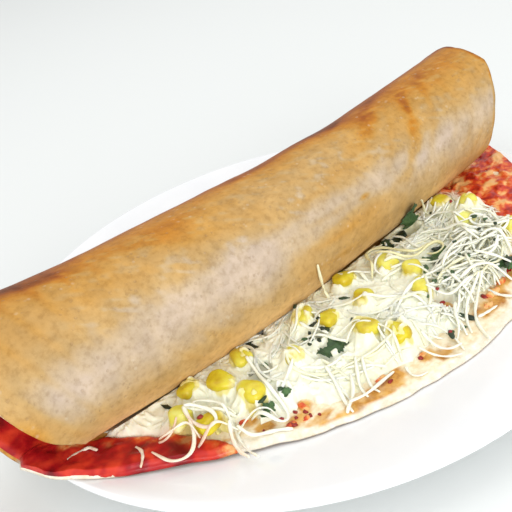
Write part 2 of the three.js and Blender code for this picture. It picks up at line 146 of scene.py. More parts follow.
rim_top = float(plate_top(PLATE_RADIUS - 0.003))
profile = [(0, 0), (FOOT_RADIUS - 0.001, 0), (FOOT_RADIUS, 0.0003), (FOOT_RADIUS + 0.005, 0.0009)]
for radius in np.linspace(*UNDERSIDE_RADII, 8):
    profile.append((radius, float(plate_top(radius)) - PLATE_THICKNESS))
for turn in np.linspace(-0.35, 0.5, 8) * math.pi:
    reach = PLATE_RADIUS - RIM_ROUNDING + RIM_ROUNDING * math.cos(turn)
    profile.append((reach, rim_top - RIM_ROUNDING + RIM_ROUNDING * math.sin(turn)))
for radius in np.linspace(PLATE_RADIUS - 0.004, TOP_INNER_RADIUS, 30):
    profile.append((radius, float(plate_top(radius))))
for radius in (TOP_INNER_RADIUS / 2, 0):
    profile.append((radius, float(plate_top(radius))))
plate = turned("plate_glazed", profile, PLATE_SIDES)
glaze, glaze_shader = finish_material("white_glaze", 0.12)
glaze_shader.inputs["Coat Weight"].default_value = 0.3
glaze_shader.inputs["Coat Roughness"].default_value = 0.08
tint = ramp(glaze, speckle(glaze, 24), [(0.3, GLAZE_SHADE), (0.7, GLAZE_WHITE)])
join(glaze, tint, glaze_shader.inputs["Base Color"])
relief(glaze, glaze_shader, speckle(glaze, 90), 0.0002, 0.25)
plate.data.materials.append(glaze)
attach(plate, "root")
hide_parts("plate")


# The dosa: fermented rice batter spread thin on a griddle, browned underneath and rolled up.
# It is one sheet. Its front part lies open as a flap, and the rest rolls over the filling.
# The browned face is outside, lacy with pores, and ringed where the ladle spread the batter.
DOSA_THICKNESS = 0.0020
EDGE_THICKNESS = 0.0010
ROLL_RADIUS = 0.0285
ROLL_TAPER = -0.017
ROLL_AXIS_Y = -0.0052
ROLL_CLEARANCE = 0.0087
ROLL_SAG = 0.0080
SAG_SPAN = 0.135
ROLL_END_ANGLE = 460
TUCK_START = 315
TUCK_DEPTH = 0.0042
INNER_TIGHTENING = 0.0014
HALF_LENGTH = 0.1365
WIDEST_ANGLE = 105
DISC_ANGLE = 380
ROLL_MIDDLE = -0.005
ROLL_SHIFT = -0.0045
# How far each uneven end stands out along X, at angles round the roll, in millimetres
RIGHT_END = [
    (165, 0), (180, -1.4), (194, -0.6), (205, 0.5), (216, 2.1), (226, 0.5), (236, -0.7),
    (246, -1.2), (260, -1.9), (277, -1.2), (291, -0.5), (305, 0),
]
LEFT_END = [
    (215, 0), (240, -1.8), (253, -2.3), (265, -1.4), (279, 0), (293, 1.7), (301, 2.4), (318, 0),
]
END_REACH = 8
END_WAVE = 0.0007
SHIFT_OVER = 150
SHIFT_BACK = (280, 315)
FULL_TURN = 360
TIGHTENING_TURN = 100
DENT_DEPTH = 0.0005
DENT_LENGTH = 0.024
FRONT_DROOP = 0.001
DROOP_BAND = (0.030, 0.092)
FLAP_RIPPLE = 0.00035
RIPPLE_SPANS = (0.031, 0.017)
RESTING_GAP = 0.00035
FLAP_EDGE = [
    (-0.137, -0.008), (-0.127, -0.028), (-0.100, -0.050), (-0.058, -0.077), (-0.018, -0.092),
    (0.022, -0.0955), (0.064, -0.083), (0.098, -0.058), (0.118, -0.033), (0.127, -0.010),
]
EDGE_POINTS = 401
EDGE_WAVE = 0.0007
# Where the sheet thins out: at both ends, at its inner end and at the flap's front edge
THIN_ENDS = 0.975
THIN_INNER_END = 1.97
THIN_FRONT = 0.04
DOSA_COLUMNS = 220
FLAP_ROWS = 70
# The outer face that shows has finer rows, in degrees round the roll
SHOWN_FACE = (140, 330)
FINE_ROW = 1.5
COARSE_ROW = 5
LADLE_CENTRE = (0.005, 0.072)
LADLE_PITCH = 0.0105
# Each browned patch is x, angle round the roll, half length, half width in metres and strength
BROWNED_PATCHES = [
    (-0.100, 180, 0.014, 0.005, 0.16),
    (-0.054, 190, 0.018, 0.007, 0.12),
    (0.010, 204, 0.030, 0.012, -0.20),
    (0.085, 192, 0.034, 0.009, 0.12),
    (0.034, 168, 0.015, 0.0060, 0.30),
    (0.046, 181, 0.008, 0.0050, 0.14),
    (0.070, 170, 0.012, 0.0050, 0.16),
    (-0.010, 170, 0.016, 0.0036, 0.14),
    (-0.118, 172, 0.012, 0.0060, 0.14),
    (0.013, 263, 0.026, 0.0052, 0.34),
    (0.020, 280, 0.030, 0.0070, 0.16),
    # The strong patch low on the left end is painted shade under the roll's lower edge
    (-0.137, 276, 0.009, 0.012, 0.55),
    (0.066, 266, 0.022, 0.005, 0.06),
    (0.045, 257, 0.007, 0.0028, 0.14),
    (0.022, 251, 0.0024, 0.0009, 0.50),
    (-0.020, 242, 0.060, 0.003, -0.05),
]
# Arcs that the ladle's sweep left: half width in metres, strength, and a route of x and angle
LADLE_SWEEPS = [
    (0.0034, 0.15, [(-0.122, 170), (-0.106, 176), (-0.093, 186), (-0.084, 198)]),
    (0.0046, -0.13, [(-0.098, 178), (-0.080, 196), (-0.063, 212), (-0.045, 226)]),
    (0.0040, 0.09, [(-0.070, 196), (-0.052, 210), (-0.034, 220), (-0.014, 226)]),
    (0.0050, -0.08, [(-0.120, 212), (-0.098, 224), (-0.070, 234), (-0.040, 238)]),
    (0.0042, 0.26, [(0.064, 170), (0.056, 184), (0.047, 200), (0.032, 215)]),
    (0.0022, 0.16, [(0.046, 160), (0.040, 172), (0.032, 184)]),
    (0.0030, -0.10, [(0.070, 176), (0.060, 196), (0.050, 214), (0.036, 226)]),
    (0.0025, 0.27, [(0.080, 184), (0.0715, 200), (0.0670, 219), (0.0600, 240), (0.0480, 256)]),
    (0.0026, 0.12, [(0.098, 172), (0.088, 192), (0.082, 212)]),
    (0.0024, 0.08, [(-0.010, 228), (0.014, 222), (0.034, 226), (0.052, 236)]),
]
# Golden toasted places on the open face, as x, y and half sizes along x and y
GOLDEN_PATCHES = [
    (-0.0600, -0.0768, 0.0060, 0.0026), (-0.0525, -0.0793, 0.0064, 0.0034),
    (-0.0455, -0.0810, 0.0064, 0.0046), (-0.0385, -0.0815, 0.0070, 0.0052),
    (-0.0310, -0.0812, 0.0070, 0.0044), (-0.0255, -0.0800, 0.0040, 0.0034),
    (-0.0115, -0.0828, 0.0042, 0.0026), (-0.0070, -0.0866, 0.0040, 0.0026),
    (0.0240, -0.0852, 0.0088, 0.0038), (0.0300, -0.0822, 0.0052, 0.0032),
    (0.0400, -0.0812, 0.0070, 0.0026), (0.0560, -0.0745, 0.0080, 0.0026),
    (0.0150, -0.0715, 0.0026, 0.0038), (0.0250, -0.0755, 0.0038, 0.0014),
    (-0.0855, -0.0575, 0.0032, 0.0026), (-0.0732, -0.0545, 0.0036, 0.0030),
    (-0.0715, -0.0612, 0.0044, 0.0032), (-0.0565, -0.0730, 0.0070, 0.0018),
    (-0.0610, -0.0672, 0.0060, 0.0024), (-0.0560, -0.0640, 0.0026, 0.0034),
]
LACE_WIDTH = 0.0060
CREASE_BAND = (0.0235, 0.0285)
# How brown the outside is at each angle round the roll, with painted light in it: the pale dip at 240 to 258
# degrees is a painted sheen, and the darkening from 300 degrees on is painted shade towards the crease
BROWNING_AND_LIGHT_BY_ANGLE = [
    (0, 0.50), (100, 0.62), (150, 0.88), (163, 0.76), (170, 0.64), (180, 0.57), (192, 0.48), (204, 0.43),
    (216, 0.36), (228, 0.25), (240, 0.10), (250, 0.03), (258, 0.07), (270, 0.17), (285, 0.28),
    (300, 0.34), (330, 0.40), (460, 0.55),
]
# A paler strip painted low on the roll's front, painted light that stands in for light bounced up from the
# cheese, by angle and up to where it ends on the right
BOUNCE_LIGHT_ANGLES = (280, 308)
BOUNCE_LIGHT_END = (330, 345)
BOUNCE_LIGHT_RIGHT = (0.076, 0.092)
BOUNCE_LIGHT_COLOUR = (0.80, 0.52, 0.23, 1)
# Pale flecks lie aslant over the upper face between these angles
FLECKS_FROM = (172, 188)
FLECKS_TO = (226, 244)
FLECK_SLANT = 0.6
FLECK_SIZE = (0.0052, 0.0021)
FLECK_PALING = 0.15
RING_BROWNING = 0.09
END_BROWNING = 0.35
SWEEP_POINTS = 60
MOTTLING = 0.12
DARK_PORE = (0.28, 0.18, 0.10, 1)
PALE_PORE = (0.60, 0.52, 0.40, 1)
DULLEST = (0.86, 0.86, 0.87, 1)
BRIGHTEST = (1.13, 1.13, 1.12, 1)
NOISE_CELLS = 64
ROUTE_STEPS = 40


def smoothstep(value, low, high):
    t = np.clip((value - low) / (high - low), 0, 1)
    return t * t * (3 - 2 * t)


def soft_noise(u, v, size, seed):
    """Smooth random values from -1 to 1 over two coordinates, one new value each size."""
    table = np.random.default_rng(seed).uniform(-1, 1, (NOISE_CELLS, NOISE_CELLS))
    u, v = np.asarray(u) / size, np.asarray(v) / size
    left, low = np.floor(u).astype(int), np.floor(v).astype(int)
    along, up = smoothstep(u - left, 0, 1), smoothstep(v - low, 0, 1)
    left, right = left % NOISE_CELLS, (left + 1) % NOISE_CELLS
    low, high = low % NOISE_CELLS, (low + 1) % NOISE_CELLS
    near = table[left, low] * (1 - along) + table[right, low] * along
    far = table[left, high] * (1 - along) + table[right, high] * along
    return near * (1 - up) + far * up


def smooth_route(points, count):
    """Evenly spaced points along a curve that passes smoothly through the given ones."""
    points = np.array(points, float)
    ends = np.vstack([2 * points[0] - points[1], points, 2 * points[-1] - points[-2]])
    t = np.linspace(0, 1, ROUTE_STEPS, endpoint=False)[:, None]
    stretches = []
    for a, b, c, d in zip(ends, ends[1:], ends[2:], ends[3:]):
        bend = 2 * b + (c - a) * t + (2 * a - 5 * b + 4 * c - d) * t**2
        stretches.append((bend + (3 * b - a - 3 * c + d) * t**3) / 2)
    dense = np.vstack(stretches + [points[-1:]])
    travelled = np.concatenate([[0], np.cumsum(np.linalg.norm(np.diff(dense, axis=0), axis=1))])
    wanted = np.linspace(0, travelled[-1], count)
    return np.stack([np.interp(wanted, travelled, dense[:, k]) for k in range(dense.shape[1])], -1)


def flap_under(x, y):
    """Underside of the open flap, which bridges the well and rests on the border."""
    bridge = ROLL_CLEARANCE + ROLL_SAG * (x / SAG_SPAN) ** 2
    droop = FRONT_DROOP * smoothstep(-y, *DROOP_BAND)
    ripple = FLAP_RIPPLE * np.sin(x / RIPPLE_SPANS[0] + 1) * np.sin(y / RIPPLE_SPANS[1])
    rest = plate_top(np.minimum(np.hypot(x, y), PLATE_RADIUS)) + RESTING_GAP
    return np.maximum(rest, bridge - droop + ripple)


def roll_radius(x):
    return ROLL_RADIUS + ROLL_TAPER * x


def roll_x(across, angle):
    """Place along the roll of a share across the sheet, from -1 to 1, at an angle round it."""
    half = HALF_LENGTH * np.sqrt(1 - ((angle - WIDEST_ANGLE) / DISC_ANGLE) ** 2)
    half = half + END_WAVE * soft_noise(angle / FULL_TURN, np.sign(across) * 3, 0.035, 5)
    sway = smoothstep(angle, 0, SHIFT_OVER) - smoothstep(angle, *SHIFT_BACK)
    uneven = np.where(across > 0, np.interp(angle, *zip(*RIGHT_END)), np.interp(angle, *zip(*LEFT_END)))
    return ROLL_MIDDLE + ROLL_SHIFT * sway + half * across + uneven / 1000 * across**END_REACH


def sheet_under(across, along):
    """Browned face of the sheet. along is 0 to 1 over the flap and 1 to 2 round the roll."""
    edge = smooth_route(FLAP_EDGE, EDGE_POINTS)
    share = (across + 1) * (EDGE_POINTS - 1) / 2
    edge_x = np.interp(share, np.arange(EDGE_POINTS), edge[:, 0])
    edge_y = np.interp(share, np.arange(EDGE_POINTS), edge[:, 1])
    edge_y = edge_y + EDGE_WAVE * soft_noise(edge_x, edge_x * 0, 0.006, 8)
    start_x = roll_x(across, 0 * across)
    flap = np.clip(along, 0, 1)
    flat_x = edge_x + (start_x - edge_x) * flap
    flat_y = edge_y + (ROLL_AXIS_Y - edge_y) * flap
    flat = np.stack([flat_x, flat_y, flap_under(flat_x, flat_y)], -1)
    angle = np.clip(along - 1, 0, 1) * ROLL_END_ANGLE
    x = roll_x(across, angle)
    tuck = TUCK_DEPTH * smoothstep(angle, TUCK_START, FULL_TURN)
    tuck = tuck + INNER_TIGHTENING * np.maximum(0, (angle - FULL_TURN) / TIGHTENING_TURN)
    dent = DENT_DEPTH * np.sin(x / DENT_LENGTH) * np.sin(np.radians(angle) * 2) ** 2
    arc = np.radians(angle) * ROLL_RADIUS
    uneven = 0.00035 * soft_noise(x, arc, 0.021, 11) + 0.00012 * soft_noise(x, arc, 0.006, 12)
    radius = roll_radius(x) - tuck - dent + uneven * smoothstep(angle, 5, 40)
    axis_z = flap_under(x, ROLL_AXIS_Y + 0 * x) + roll_radius(x)
    y = ROLL_AXIS_Y + radius * np.sin(np.radians(angle))
    rolled = np.stack([x, y, axis_z - radius * np.cos(np.radians(angle))], -1)
    return np.where(along[..., None] <= 1, flat, rolled)


def sheet_thickness(across, along):
    ends = np.maximum(smoothstep(np.abs(across), THIN_ENDS, 1), smoothstep(along, THIN_INNER_END, 2))
    thin = np.maximum(ends, 1 - smoothstep(along, 0, THIN_FRONT))
    return DOSA_THICKNESS + (EDGE_THICKNESS - DOSA_THICKNESS) * thin


def grid_normals(points):
    """Unit normals of a grid of points."""
    across = np.gradient(points, axis=1)
    along = np.gradient(points, axis=0)
    normal = np.cross(across, along)
    return normal / np.maximum(np.linalg.norm(normal, axis=-1, keepdims=True), 1e-12)


def slab(name, lower, upper):
    """A closed sheet between two grids of points. Its faces come as upper, lower, walls."""
    rows, columns = lower.shape[:2]
    index = np.arange(rows * columns).reshape(rows, columns)
    top = index + rows * columns
    a, b, c, d = index[:-1, :-1], index[:-1, 1:], index[1:, 1:], index[1:, :-1]
    offset = rows * columns
    faces = [np.stack([q.ravel() + offset for q in (a, b, c, d)], -1)]
    faces.append(np.stack([q.ravel() for q in (a, d, c, b)], -1))
    for low, high in ((index[0], top[0]), (index[-1, ::-1], top[-1, ::-1]),
                      (index[::-1, 0], top[::-1, 0]), (index[:, -1], top[:, -1])):
        faces.append(np.stack([low[:-1], low[1:], high[1:], high[:-1]], -1))
    points = np.concatenate([lower.reshape(-1, 3), upper.reshape(-1, 3)])
    return build(name, points, np.concatenate(faces).tolist())


def put_values(piece, name, values):
    """Stores one number for each point of a piece, for its material to read."""
    store = piece.data.attributes.new(name, "FLOAT", "POINT")
    store.data.foreach_set("value", np.asarray(values, dtype=np.float32).ravel())


def read_values(material, name):
    made = material.node_tree.nodes.new("ShaderNodeAttribute")
    made.attribute_name = name
    return made.outputs["Fac"]


def arithmetic(material, operation, first, second):
    """A sum node over two inputs, each an output of another node or a number."""
    made = material.node_tree.nodes.new("ShaderNodeMath")
    made.operation = operation
    for socket, value in zip(made.inputs, (first, second)):
        if isinstance(value, (int, float)):
            socket.default_value = value
        else:
            join(material, value, socket)
    return made.outputs["Value"]


def scaled(material, value, share):
    return arithmetic(material, "MULTIPLY", value, share)


def blend_colours(material, factor, first, second, mode="MIX"):
    """A colour between two others, each an output of another node or a fixed colour."""
    made = material.node_tree.nodes.new("ShaderNodeMix")
    made.data_type = "RGBA"
    made.blend_type = mode
    for socket, value in ((made.inputs["Factor"], factor), (made.inputs[6], first), (made.inputs[7], second)):
        if hasattr(value, "is_output"):
            join(material, value, socket)
        else:
            socket.default_value = value
    return made.outputs[2]


def patches(x, y, table):
    """Strongest of a list of soft-edged ellipses at each place."""
    best = 0 * x
    for mid_x, mid_y, half_x, half_y in table:
        away = np.hypot((x - mid_x) / half_x, (y - mid_y) / half_y)
        best = np.maximum(best, 1 - smoothstep(away + 0.25 * soft_noise(x, y, 0.0025, 33), 0.8, 1.2))
    return best


across_grid = np.linspace(-1, 1, DOSA_COLUMNS)
row_angles = np.concatenate([
    np.arange(0, SHOWN_FACE[0], COARSE_ROW), np.arange(*SHOWN_FACE, FINE_ROW),
    np.linspace(SHOWN_FACE[1], ROLL_END_ANGLE, 28)])
along_grid = np.concatenate([np.linspace(0, 1, FLAP_ROWS, endpoint=False), 1 + row_angles / ROLL_END_ANGLE])
across, along = np.meshgrid(across_grid, along_grid)
under = sheet_under(across, along)
inward = grid_normals(under)
thickness = sheet_thickness(across, along)
dosa = slab("dosa_sheet", under, under + inward * thickness[..., None])

angle = np.clip(along - 1, 0, 1) * ROLL_END_ANGLE
x, arc = under[..., 0], np.radians(angle) * ROLL_RADIUS
from_ladle = np.hypot(x - LADLE_CENTRE[0], arc - LADLE_CENTRE[1])
wander = 0.004 * soft_noise(x, arc, 0.03, 21)
ring = 0.5 + 0.5 * np.cos((from_ladle + wander) / LADLE_PITCH * 2 * math.pi)
ring = ring**4 * smoothstep(soft_noise(x, arc, 0.024, 22), -0.3, 0.7)
wavering = angle + 7 * soft_noise(x, 0 * x, 0.045, 25) + 3 * soft_noise(x, arc, 0.014, 26)
# The browning by angle carries a painted sheen band and painted shade low on the roll
browning_and_light = np.interp(wavering, *zip(*BROWNING_AND_LIGHT_BY_ANGLE))
browning_and_light = browning_and_light + RING_BROWNING * ring
browning_and_light = browning_and_light + 0.07 * soft_noise(x, arc, 0.019, 23) + 0.02 * soft_noise(x, arc, 0.006, 24)
for patch_x, patch_angle, length, width, strength in BROWNED_PATCHES:
    lengthwise = (x - patch_x) / length
    crosswise = (arc - math.radians(patch_angle) * ROLL_RADIUS) / width
    browning_and_light = browning_and_light + strength * np.exp(-(lengthwise**2) - crosswise**2)
ragged = 0.5 * soft_noise(x, arc, 0.0045, 30) + 0.3 * soft_noise(x, arc, 0.0020, 31)
for half_width, strength, corners in LADLE_SWEEPS:
    corners = [(corner_x, math.radians(turn) * ROLL_RADIUS) for corner_x, turn in corners]
    route = smooth_route(corners, SWEEP_POINTS)
    away = np.hypot(x[..., None] - route[:, 0], arc[..., None] - route[:, 1])
    fade = np.sin(np.linspace(0.08, 0.92, SWEEP_POINTS) * math.pi)[away.argmin(-1)]
    browning_and_light = browning_and_light + strength * fade * np.exp(-((away.min(-1) / half_width + ragged) ** 2))
toasted_end = smoothstep(across, 0.98, 0.995) * (0.6 + 0.6 * soft_noise(x, arc, 0.005, 28))
browning_and_light = browning_and_light + END_BROWNING * toasted_end
slant_x = (x + FLECK_SLANT * arc) / FLECK_SIZE[0]
slant_arc = (arc - FLECK_SLANT * x) / FLECK_SIZE[1]
flecks = smoothstep(soft_noise(slant_x, slant_arc, 1, 32) + 0.5 * soft_noise(x, arc, 0.0022, 33), 0.15, 0.95)
flecked = smoothstep(angle, *FLECKS_FROM) * (1 - smoothstep(angle, *FLECKS_TO))
flecked = flecked * smoothstep(x, -0.120, -0.090)
browning_and_light = np.clip(browning_and_light + flecked * (0.035 - FLECK_PALING * flecks), 0, 1)
put_values(dosa, "browning_and_light", np.concatenate([browning_and_light, browning_and_light]))
# Painted bounce light: a paler strip low on the roll's front, left off at the right end
painted_bounce_light = smoothstep(wavering, *BOUNCE_LIGHT_ANGLES) * (1 - smoothstep(angle, *BOUNCE_LIGHT_END))
painted_bounce_light = painted_bounce_light * (1 - smoothstep(x, *BOUNCE_LIGHT_RIGHT))
streaks = soft_noise(x / 0.0026, arc / 0.016, 1, 71) + 0.7 * soft_noise(x / 0.0065, arc / 0.011, 1, 72)
clouds = soft_noise(x, arc, 0.0034, 73) + 0.8 * soft_noise(x / 0.008, arc / 0.0024, 1, 74)
light = np.clip(0.5 + 0.22 * streaks + 0.20 * clouds, 0, 1)
put_values(dosa, "light", np.concatenate([light, light]))
put_values(dosa, "painted_bounce_light", np.concatenate([painted_bounce_light, painted_bounce_light]))

flap_length = np.hypot(under[0, :, 0] - under[FLAP_ROWS, :, 0], under[0, :, 1] - under[FLAP_ROWS, :, 1])
from_edge = np.clip(along, 0, 1) * flap_length
golden = patches(x, under[..., 1], GOLDEN_PATCHES) * (along < 1)
golden = np.minimum(golden * (0.98 + 0.36 * soft_noise(x, under[..., 1], 0.0026, 58)), 1)
golden = np.maximum(golden, 0.8 * smoothstep(-x, 0.085, 0.1) * (along < 1))
crease_wave = 0.0015 * soft_noise(x, 0 * x, 0.012, 29)
golden = np.maximum(golden, 1 - smoothstep(-under[..., 1] + crease_wave, *CREASE_BAND))
wavy = 0.6 + 0.4 * soft_noise(x, 0 * x, 0.018, 27)
lace = (1 - smoothstep(from_edge, LACE_WIDTH * wavy * 0.7, LACE_WIDTH * wavy)) * (angle < 1)
put_values(dosa, "golden", np.concatenate([golden, golden]))
put_values(dosa, "lace", np.concatenate([lace, lace]) * 0.9)

crust, crust_shader = finish_material("dosa_crust", 0.5, 0.1)
mottle = scaled(crust, arithmetic(crust, "SUBTRACT", speckle(crust, 170, 4), 0.5), MOTTLING)
# This value is the crust's browning with painted sheen and painted shade in it
toast = arithmetic(crust, "ADD", read_values(crust, "browning_and_light"), mottle)
grain = ramp(crust, speckle(crust, 430, 3, 0.6), [
    (0.32, (0.80, 0.77, 0.72, 1)), (0.50, (0.94, 0.935, 0.92, 1)), (0.68, (1.0, 1.0, 1.0, 1)),
])
crust_colour = ramp(crust, toast, [
    (0.0, (0.50, 0.395, 0.305, 1)), (0.10, (0.475, 0.360, 0.235, 1)), (0.24, (0.465, 0.305, 0.130, 1)),
    (0.50, (0.490, 0.262, 0.062, 1)), (0.66, (0.455, 0.185, 0.020, 1)), (0.84, (0.31, 0.088, 0.010, 1)),
    (1.0, (0.16, 0.04, 0.006, 1)),
])


def spots(material, scale, size, cover):
    """1 in scattered round spots, 0 between them."""
    place = material.node_tree.nodes.new("ShaderNodeTexCoord")
    cells = node(material, "ShaderNodeTexVoronoi", Scale=scale)
    join(material, place.outputs["Object"], cells.inputs["Vector"])
    dots = ramp(material, cells.outputs["Distance"], [(size * 0.5, (1, 1, 1, 1)), (size, (0, 0, 0, 1))])
    some = ramp(material, speckle(material, scale * 0.31),
                [(1 - cover, (0, 0, 0, 1)), (1.08 - cover, (1, 1, 1, 1))])
    return arithmetic(material, "MULTIPLY", dots, some)


# The paler strip of painted bounce light low on the roll
crust_colour = blend_colours(crust, scaled(crust, read_values(crust, "painted_bounce_light"), 0.8),
                             crust_colour, BOUNCE_LIGHT_COLOUR)
dark_spots = spots(crust, 430, 0.30, 0.50)
pale_spots = spots(crust, 360, 0.30, 0.46)
grained = blend_colours(crust, 1.0, crust_colour, grain, "MULTIPLY")
cloudy = ramp(crust, read_values(crust, "light"), [(0.0, DULLEST), (1.0, BRIGHTEST)])
grained = blend_colours(crust, 1.0, grained, cloudy, "MULTIPLY")
spotted = blend_colours(crust, scaled(crust, dark_spots, 0.26), grained, DARK_PORE)
spotted = blend_colours(crust, scaled(crust, pale_spots, 0.24), spotted, PALE_PORE)
join(crust, spotted, crust_shader.inputs["Base Color"])
pores = arithmetic(crust, "SUBTRACT", speckle(crust, 480, 3), dark_spots)
relief(crust, crust_shader, pores, 0.0005, 0.4)
dosa.data.materials.append(crust)

crumb, crumb_shader = finish_material("dosa_soft_face", 0.6, 0.3)
crumb_colour = ramp(crumb, speckle(crumb, 420), [
    (0.3, (0.74, 0.58, 0.34, 1)), (0.55, (0.84, 0.74, 0.54, 1)), (0.75, (0.88, 0.82, 0.67, 1)),
])
golden = ramp(crumb, speckle(crumb, 210, 5), [
    (0.3, (0.32, 0.11, 0.016, 1)), (0.48, (0.58, 0.28, 0.050, 1)), (0.7, (0.74, 0.46, 0.14, 1)),
])
lace = ramp(crumb, speckle(crumb, 330, 4), [
    (0.3, (0.70, 0.62, 0.46, 1)), (0.55, (0.80, 0.75, 0.63, 1)), (0.7, (0.86, 0.84, 0.77, 1)),
])
faced = blend_colours(crumb, read_values(crumb, "golden"), crumb_colour, golden)
faced = blend_colours(crumb, read_values(crumb, "lace"), faced, lace)
join(crumb, faced, crumb_shader.inputs["Base Color"])
relief(crumb, crumb_shader, speckle(crumb, 800), 0.0005, 0.5)
dosa.data.materials.append(crumb)
quads = (len(along_grid) - 1) * (DOSA_COLUMNS - 1)
face_material = np.zeros(len(dosa.data.polygons), int)
face_material[:quads] = 1
face_material[2 * quads:] = 1
dosa.data.polygons.foreach_set("material_index", face_material)
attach(dosa, "root")
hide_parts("dosa")


# The sauce: red chilli and tomato chutney, spooned over the soft face before the rolling.
# It is a glossy film, deep red and thick at the left end, orange where it has thinned out.
SAUCE_END_ANGLE = 118
SAUCE_COLUMNS = 240
SAUCE_INSET = 0.995
SAUCE_DEPTH = 0.0011
# The thinner sauce at the right and inside the roll, and in the patches, as a share of the depth
THIN_SHARE = 0.7
PATCH_SHARE = 0.6
MASH_DEPTH = 0.0009
# Where the film is thinner than this it ends, and its face dips into the sheet
LEAST_DEPTH = 0.00025
HIDDEN_SHARE = -0.45
# The first rows hang over the flap's front edge
LIP_ROWS = [-2, -1, -0.5]
LIP_REACH = 0.0003
LIP_DROP = 0.0012
BARE_EDGE = (-0.126, -0.117)
# Inner boundary of the thick sauce at the left end, as x at each y
LEFT_BOUNDARY = [
    (-0.0600, -0.0835), (-0.0560, -0.0850), (-0.0510, -0.0872), (-0.0460, -0.0895),
    (-0.0395, -0.0930), (-0.0370, -0.0970), (-0.0280, -0.1040), (-0.0220, -0.1075),
    (-0.0190, -0.1134), (-0.0150, -0.1190), (0.0, -0.1200),
]
RIGHT_BOUNDARY = [
    (-0.075, 0.084), (-0.060, 0.078), (-0.050, 0.0755), (-0.042, 0.073), (-0.020, 0.071), (0, 0.06),
]
# Small thin patches of sauce in front of the cheese, as x, y, half sizes along x and y
SAUCE_PATCHES = [
    (-0.0648, -0.0672, 0.0022, 0.0012), (-0.0560, -0.0645, 0.0011, 0.0026),
    (-0.0590, -0.0690, 0.0014, 0.0009), (-0.0120, -0.0805, 0.0018, 0.0012),
    (0.0300, -0.0818, 0.0042, 0.0020), (0.0235, -0.0846, 0.0026, 0.0014),
    (0.0380, -0.0800, 0.0026, 0.0016), (0.0470, -0.0785, 0.0030, 0.0014),
    (0.0145, -0.0702, 0.0018, 0.0024), (-0.0735, -0.0535, 0.0018, 0.0014),
    (-0.0900, -0.0490, 0.0036, 0.0030),
    (-0.0600, -0.0262, 0.0080, 0.0024), (-0.0295, -0.0768, 0.0030, 0.0010),
]


def rows_to_x(table, y):
    """A boundary's x at each y."""
    ys, xs = zip(*table)
    return np.interp(y, ys, xs)


def left_sauce(x, y):
    """1 inside the thick sauce at the left end, 0 outside."""
    ragged = 0.0015 * soft_noise(x, y, 0.006, 31)
    return smoothstep(rows_to_x(LEFT_BOUNDARY, y) + ragged - x, -0.001, 0.0012)


def right_sauce(x, y):
    """1 on the sauce to the right of the cheese, 0 elsewhere."""
    ragged = 0.003 * soft_noise(x, y, 0.007, 32)
    return smoothstep(x - rows_to_x(RIGHT_BOUNDARY, y) + ragged, -0.002, 0.002)


sauce_end = 1 + SAUCE_END_ANGLE / ROLL_END_ANGLE
flap_share = np.concatenate([LIP_ROWS, np.linspace(0, 1, 110), np.linspace(1, sauce_end, 50)[1:]])
across, along = np.meshgrid(np.linspace(-SAUCE_INSET, SAUCE_INSET, SAUCE_COLUMNS), flap_share)
base = sheet_under(across, np.clip(along, 0, 2))
normal = grid_normals(sheet_under(across, np.maximum(along, 0) + 1e-4 * (along < 0) * along))
normal[:3] = normal[4]
x, y = base[..., 0], base[..., 1]
left = left_sauce(x, y) * (along < 1.02)
depth = np.maximum(left * SAUCE_DEPTH, right_sauce(x, y) * SAUCE_DEPTH * THIN_SHARE)
depth = np.maximum(depth, patches(x, y, SAUCE_PATCHES) * SAUCE_DEPTH * PATCH_SHARE)
depth = depth * (1 + 0.35 * soft_noise(x, y, 0.005, 34) + 0.20 * soft_noise(x, y, 0.0022, 35))
mash = np.maximum(soft_noise(x, y, 0.0034, 37) + 0.7 * soft_noise(x, y, 0.0017, 38), -0.3)
depth = depth + MASH_DEPTH * right_sauce(x, y) * mash * (along <= 1)
rolled = smoothstep(along, 0.95, 1.03)
depth = depth * (1 - rolled) + SAUCE_DEPTH * THIN_SHARE * rolled
near_edge = smoothstep(along, 0.0, 0.05)
wet_edge = left * smoothstep(x, *BARE_EDGE)
depth = depth * (near_edge + (1 - near_edge) * 0.6 * wet_edge)
thickness = sheet_thickness(across, np.maximum(along, 0))
depth = np.where(depth < LEAST_DEPTH, HIDDEN_SHARE * thickness, depth)
surface = base + normal * (thickness + depth)[..., None]
outward = base[3] - base[6]
outward[:, 2] = 0
outward /= np.linalg.norm(outward, axis=-1, keepdims=True)
for row in range(3):
    lip = -flap_share[row] / 2
    wet = smoothstep(wet_edge[row], 0.3, 0.7)[:, None]
    reach = np.sin(lip * math.pi * 0.6) * LIP_REACH * (1 + 0.5 * soft_noise(x[row], 0 * x[row], 0.009, 36))
    over = base[3] + normal[3] * (EDGE_THICKNESS + 0.0004) + outward * reach[:, None]
    over[:, 2] -= lip * LIP_DROP
    sunk = base[3] + normal[3] * EDGE_THICKNESS * 0.4 - outward * 0.0015
    surface[row] = over * wet + sunk * (1 - wet)
underside = base + normal * (thickness * 0.25)[..., None]
underside[:3] = surface[:3] - outward * 0.0008
sauce = slab("sauce_film", underside, surface)
inwards = rows_to_x(LEFT_BOUNDARY, y) - x + 0.0030 * soft_noise(x, y, 0.0045, 39)
deep_and_shaded = left * (0.15 + 0.85 * smoothstep(inwards, 0.0010, 0.0065))
# Next to the roll at the left end the sauce is painted darker, as painted shade under the roll
deep_and_shaded = np.maximum(deep_and_shaded, smoothstep(-x, 0.100, 0.118) * smoothstep(along, 0.9, 1))
put_values(sauce, "deep_and_shaded", np.concatenate([deep_and_shaded, deep_and_shaded]))

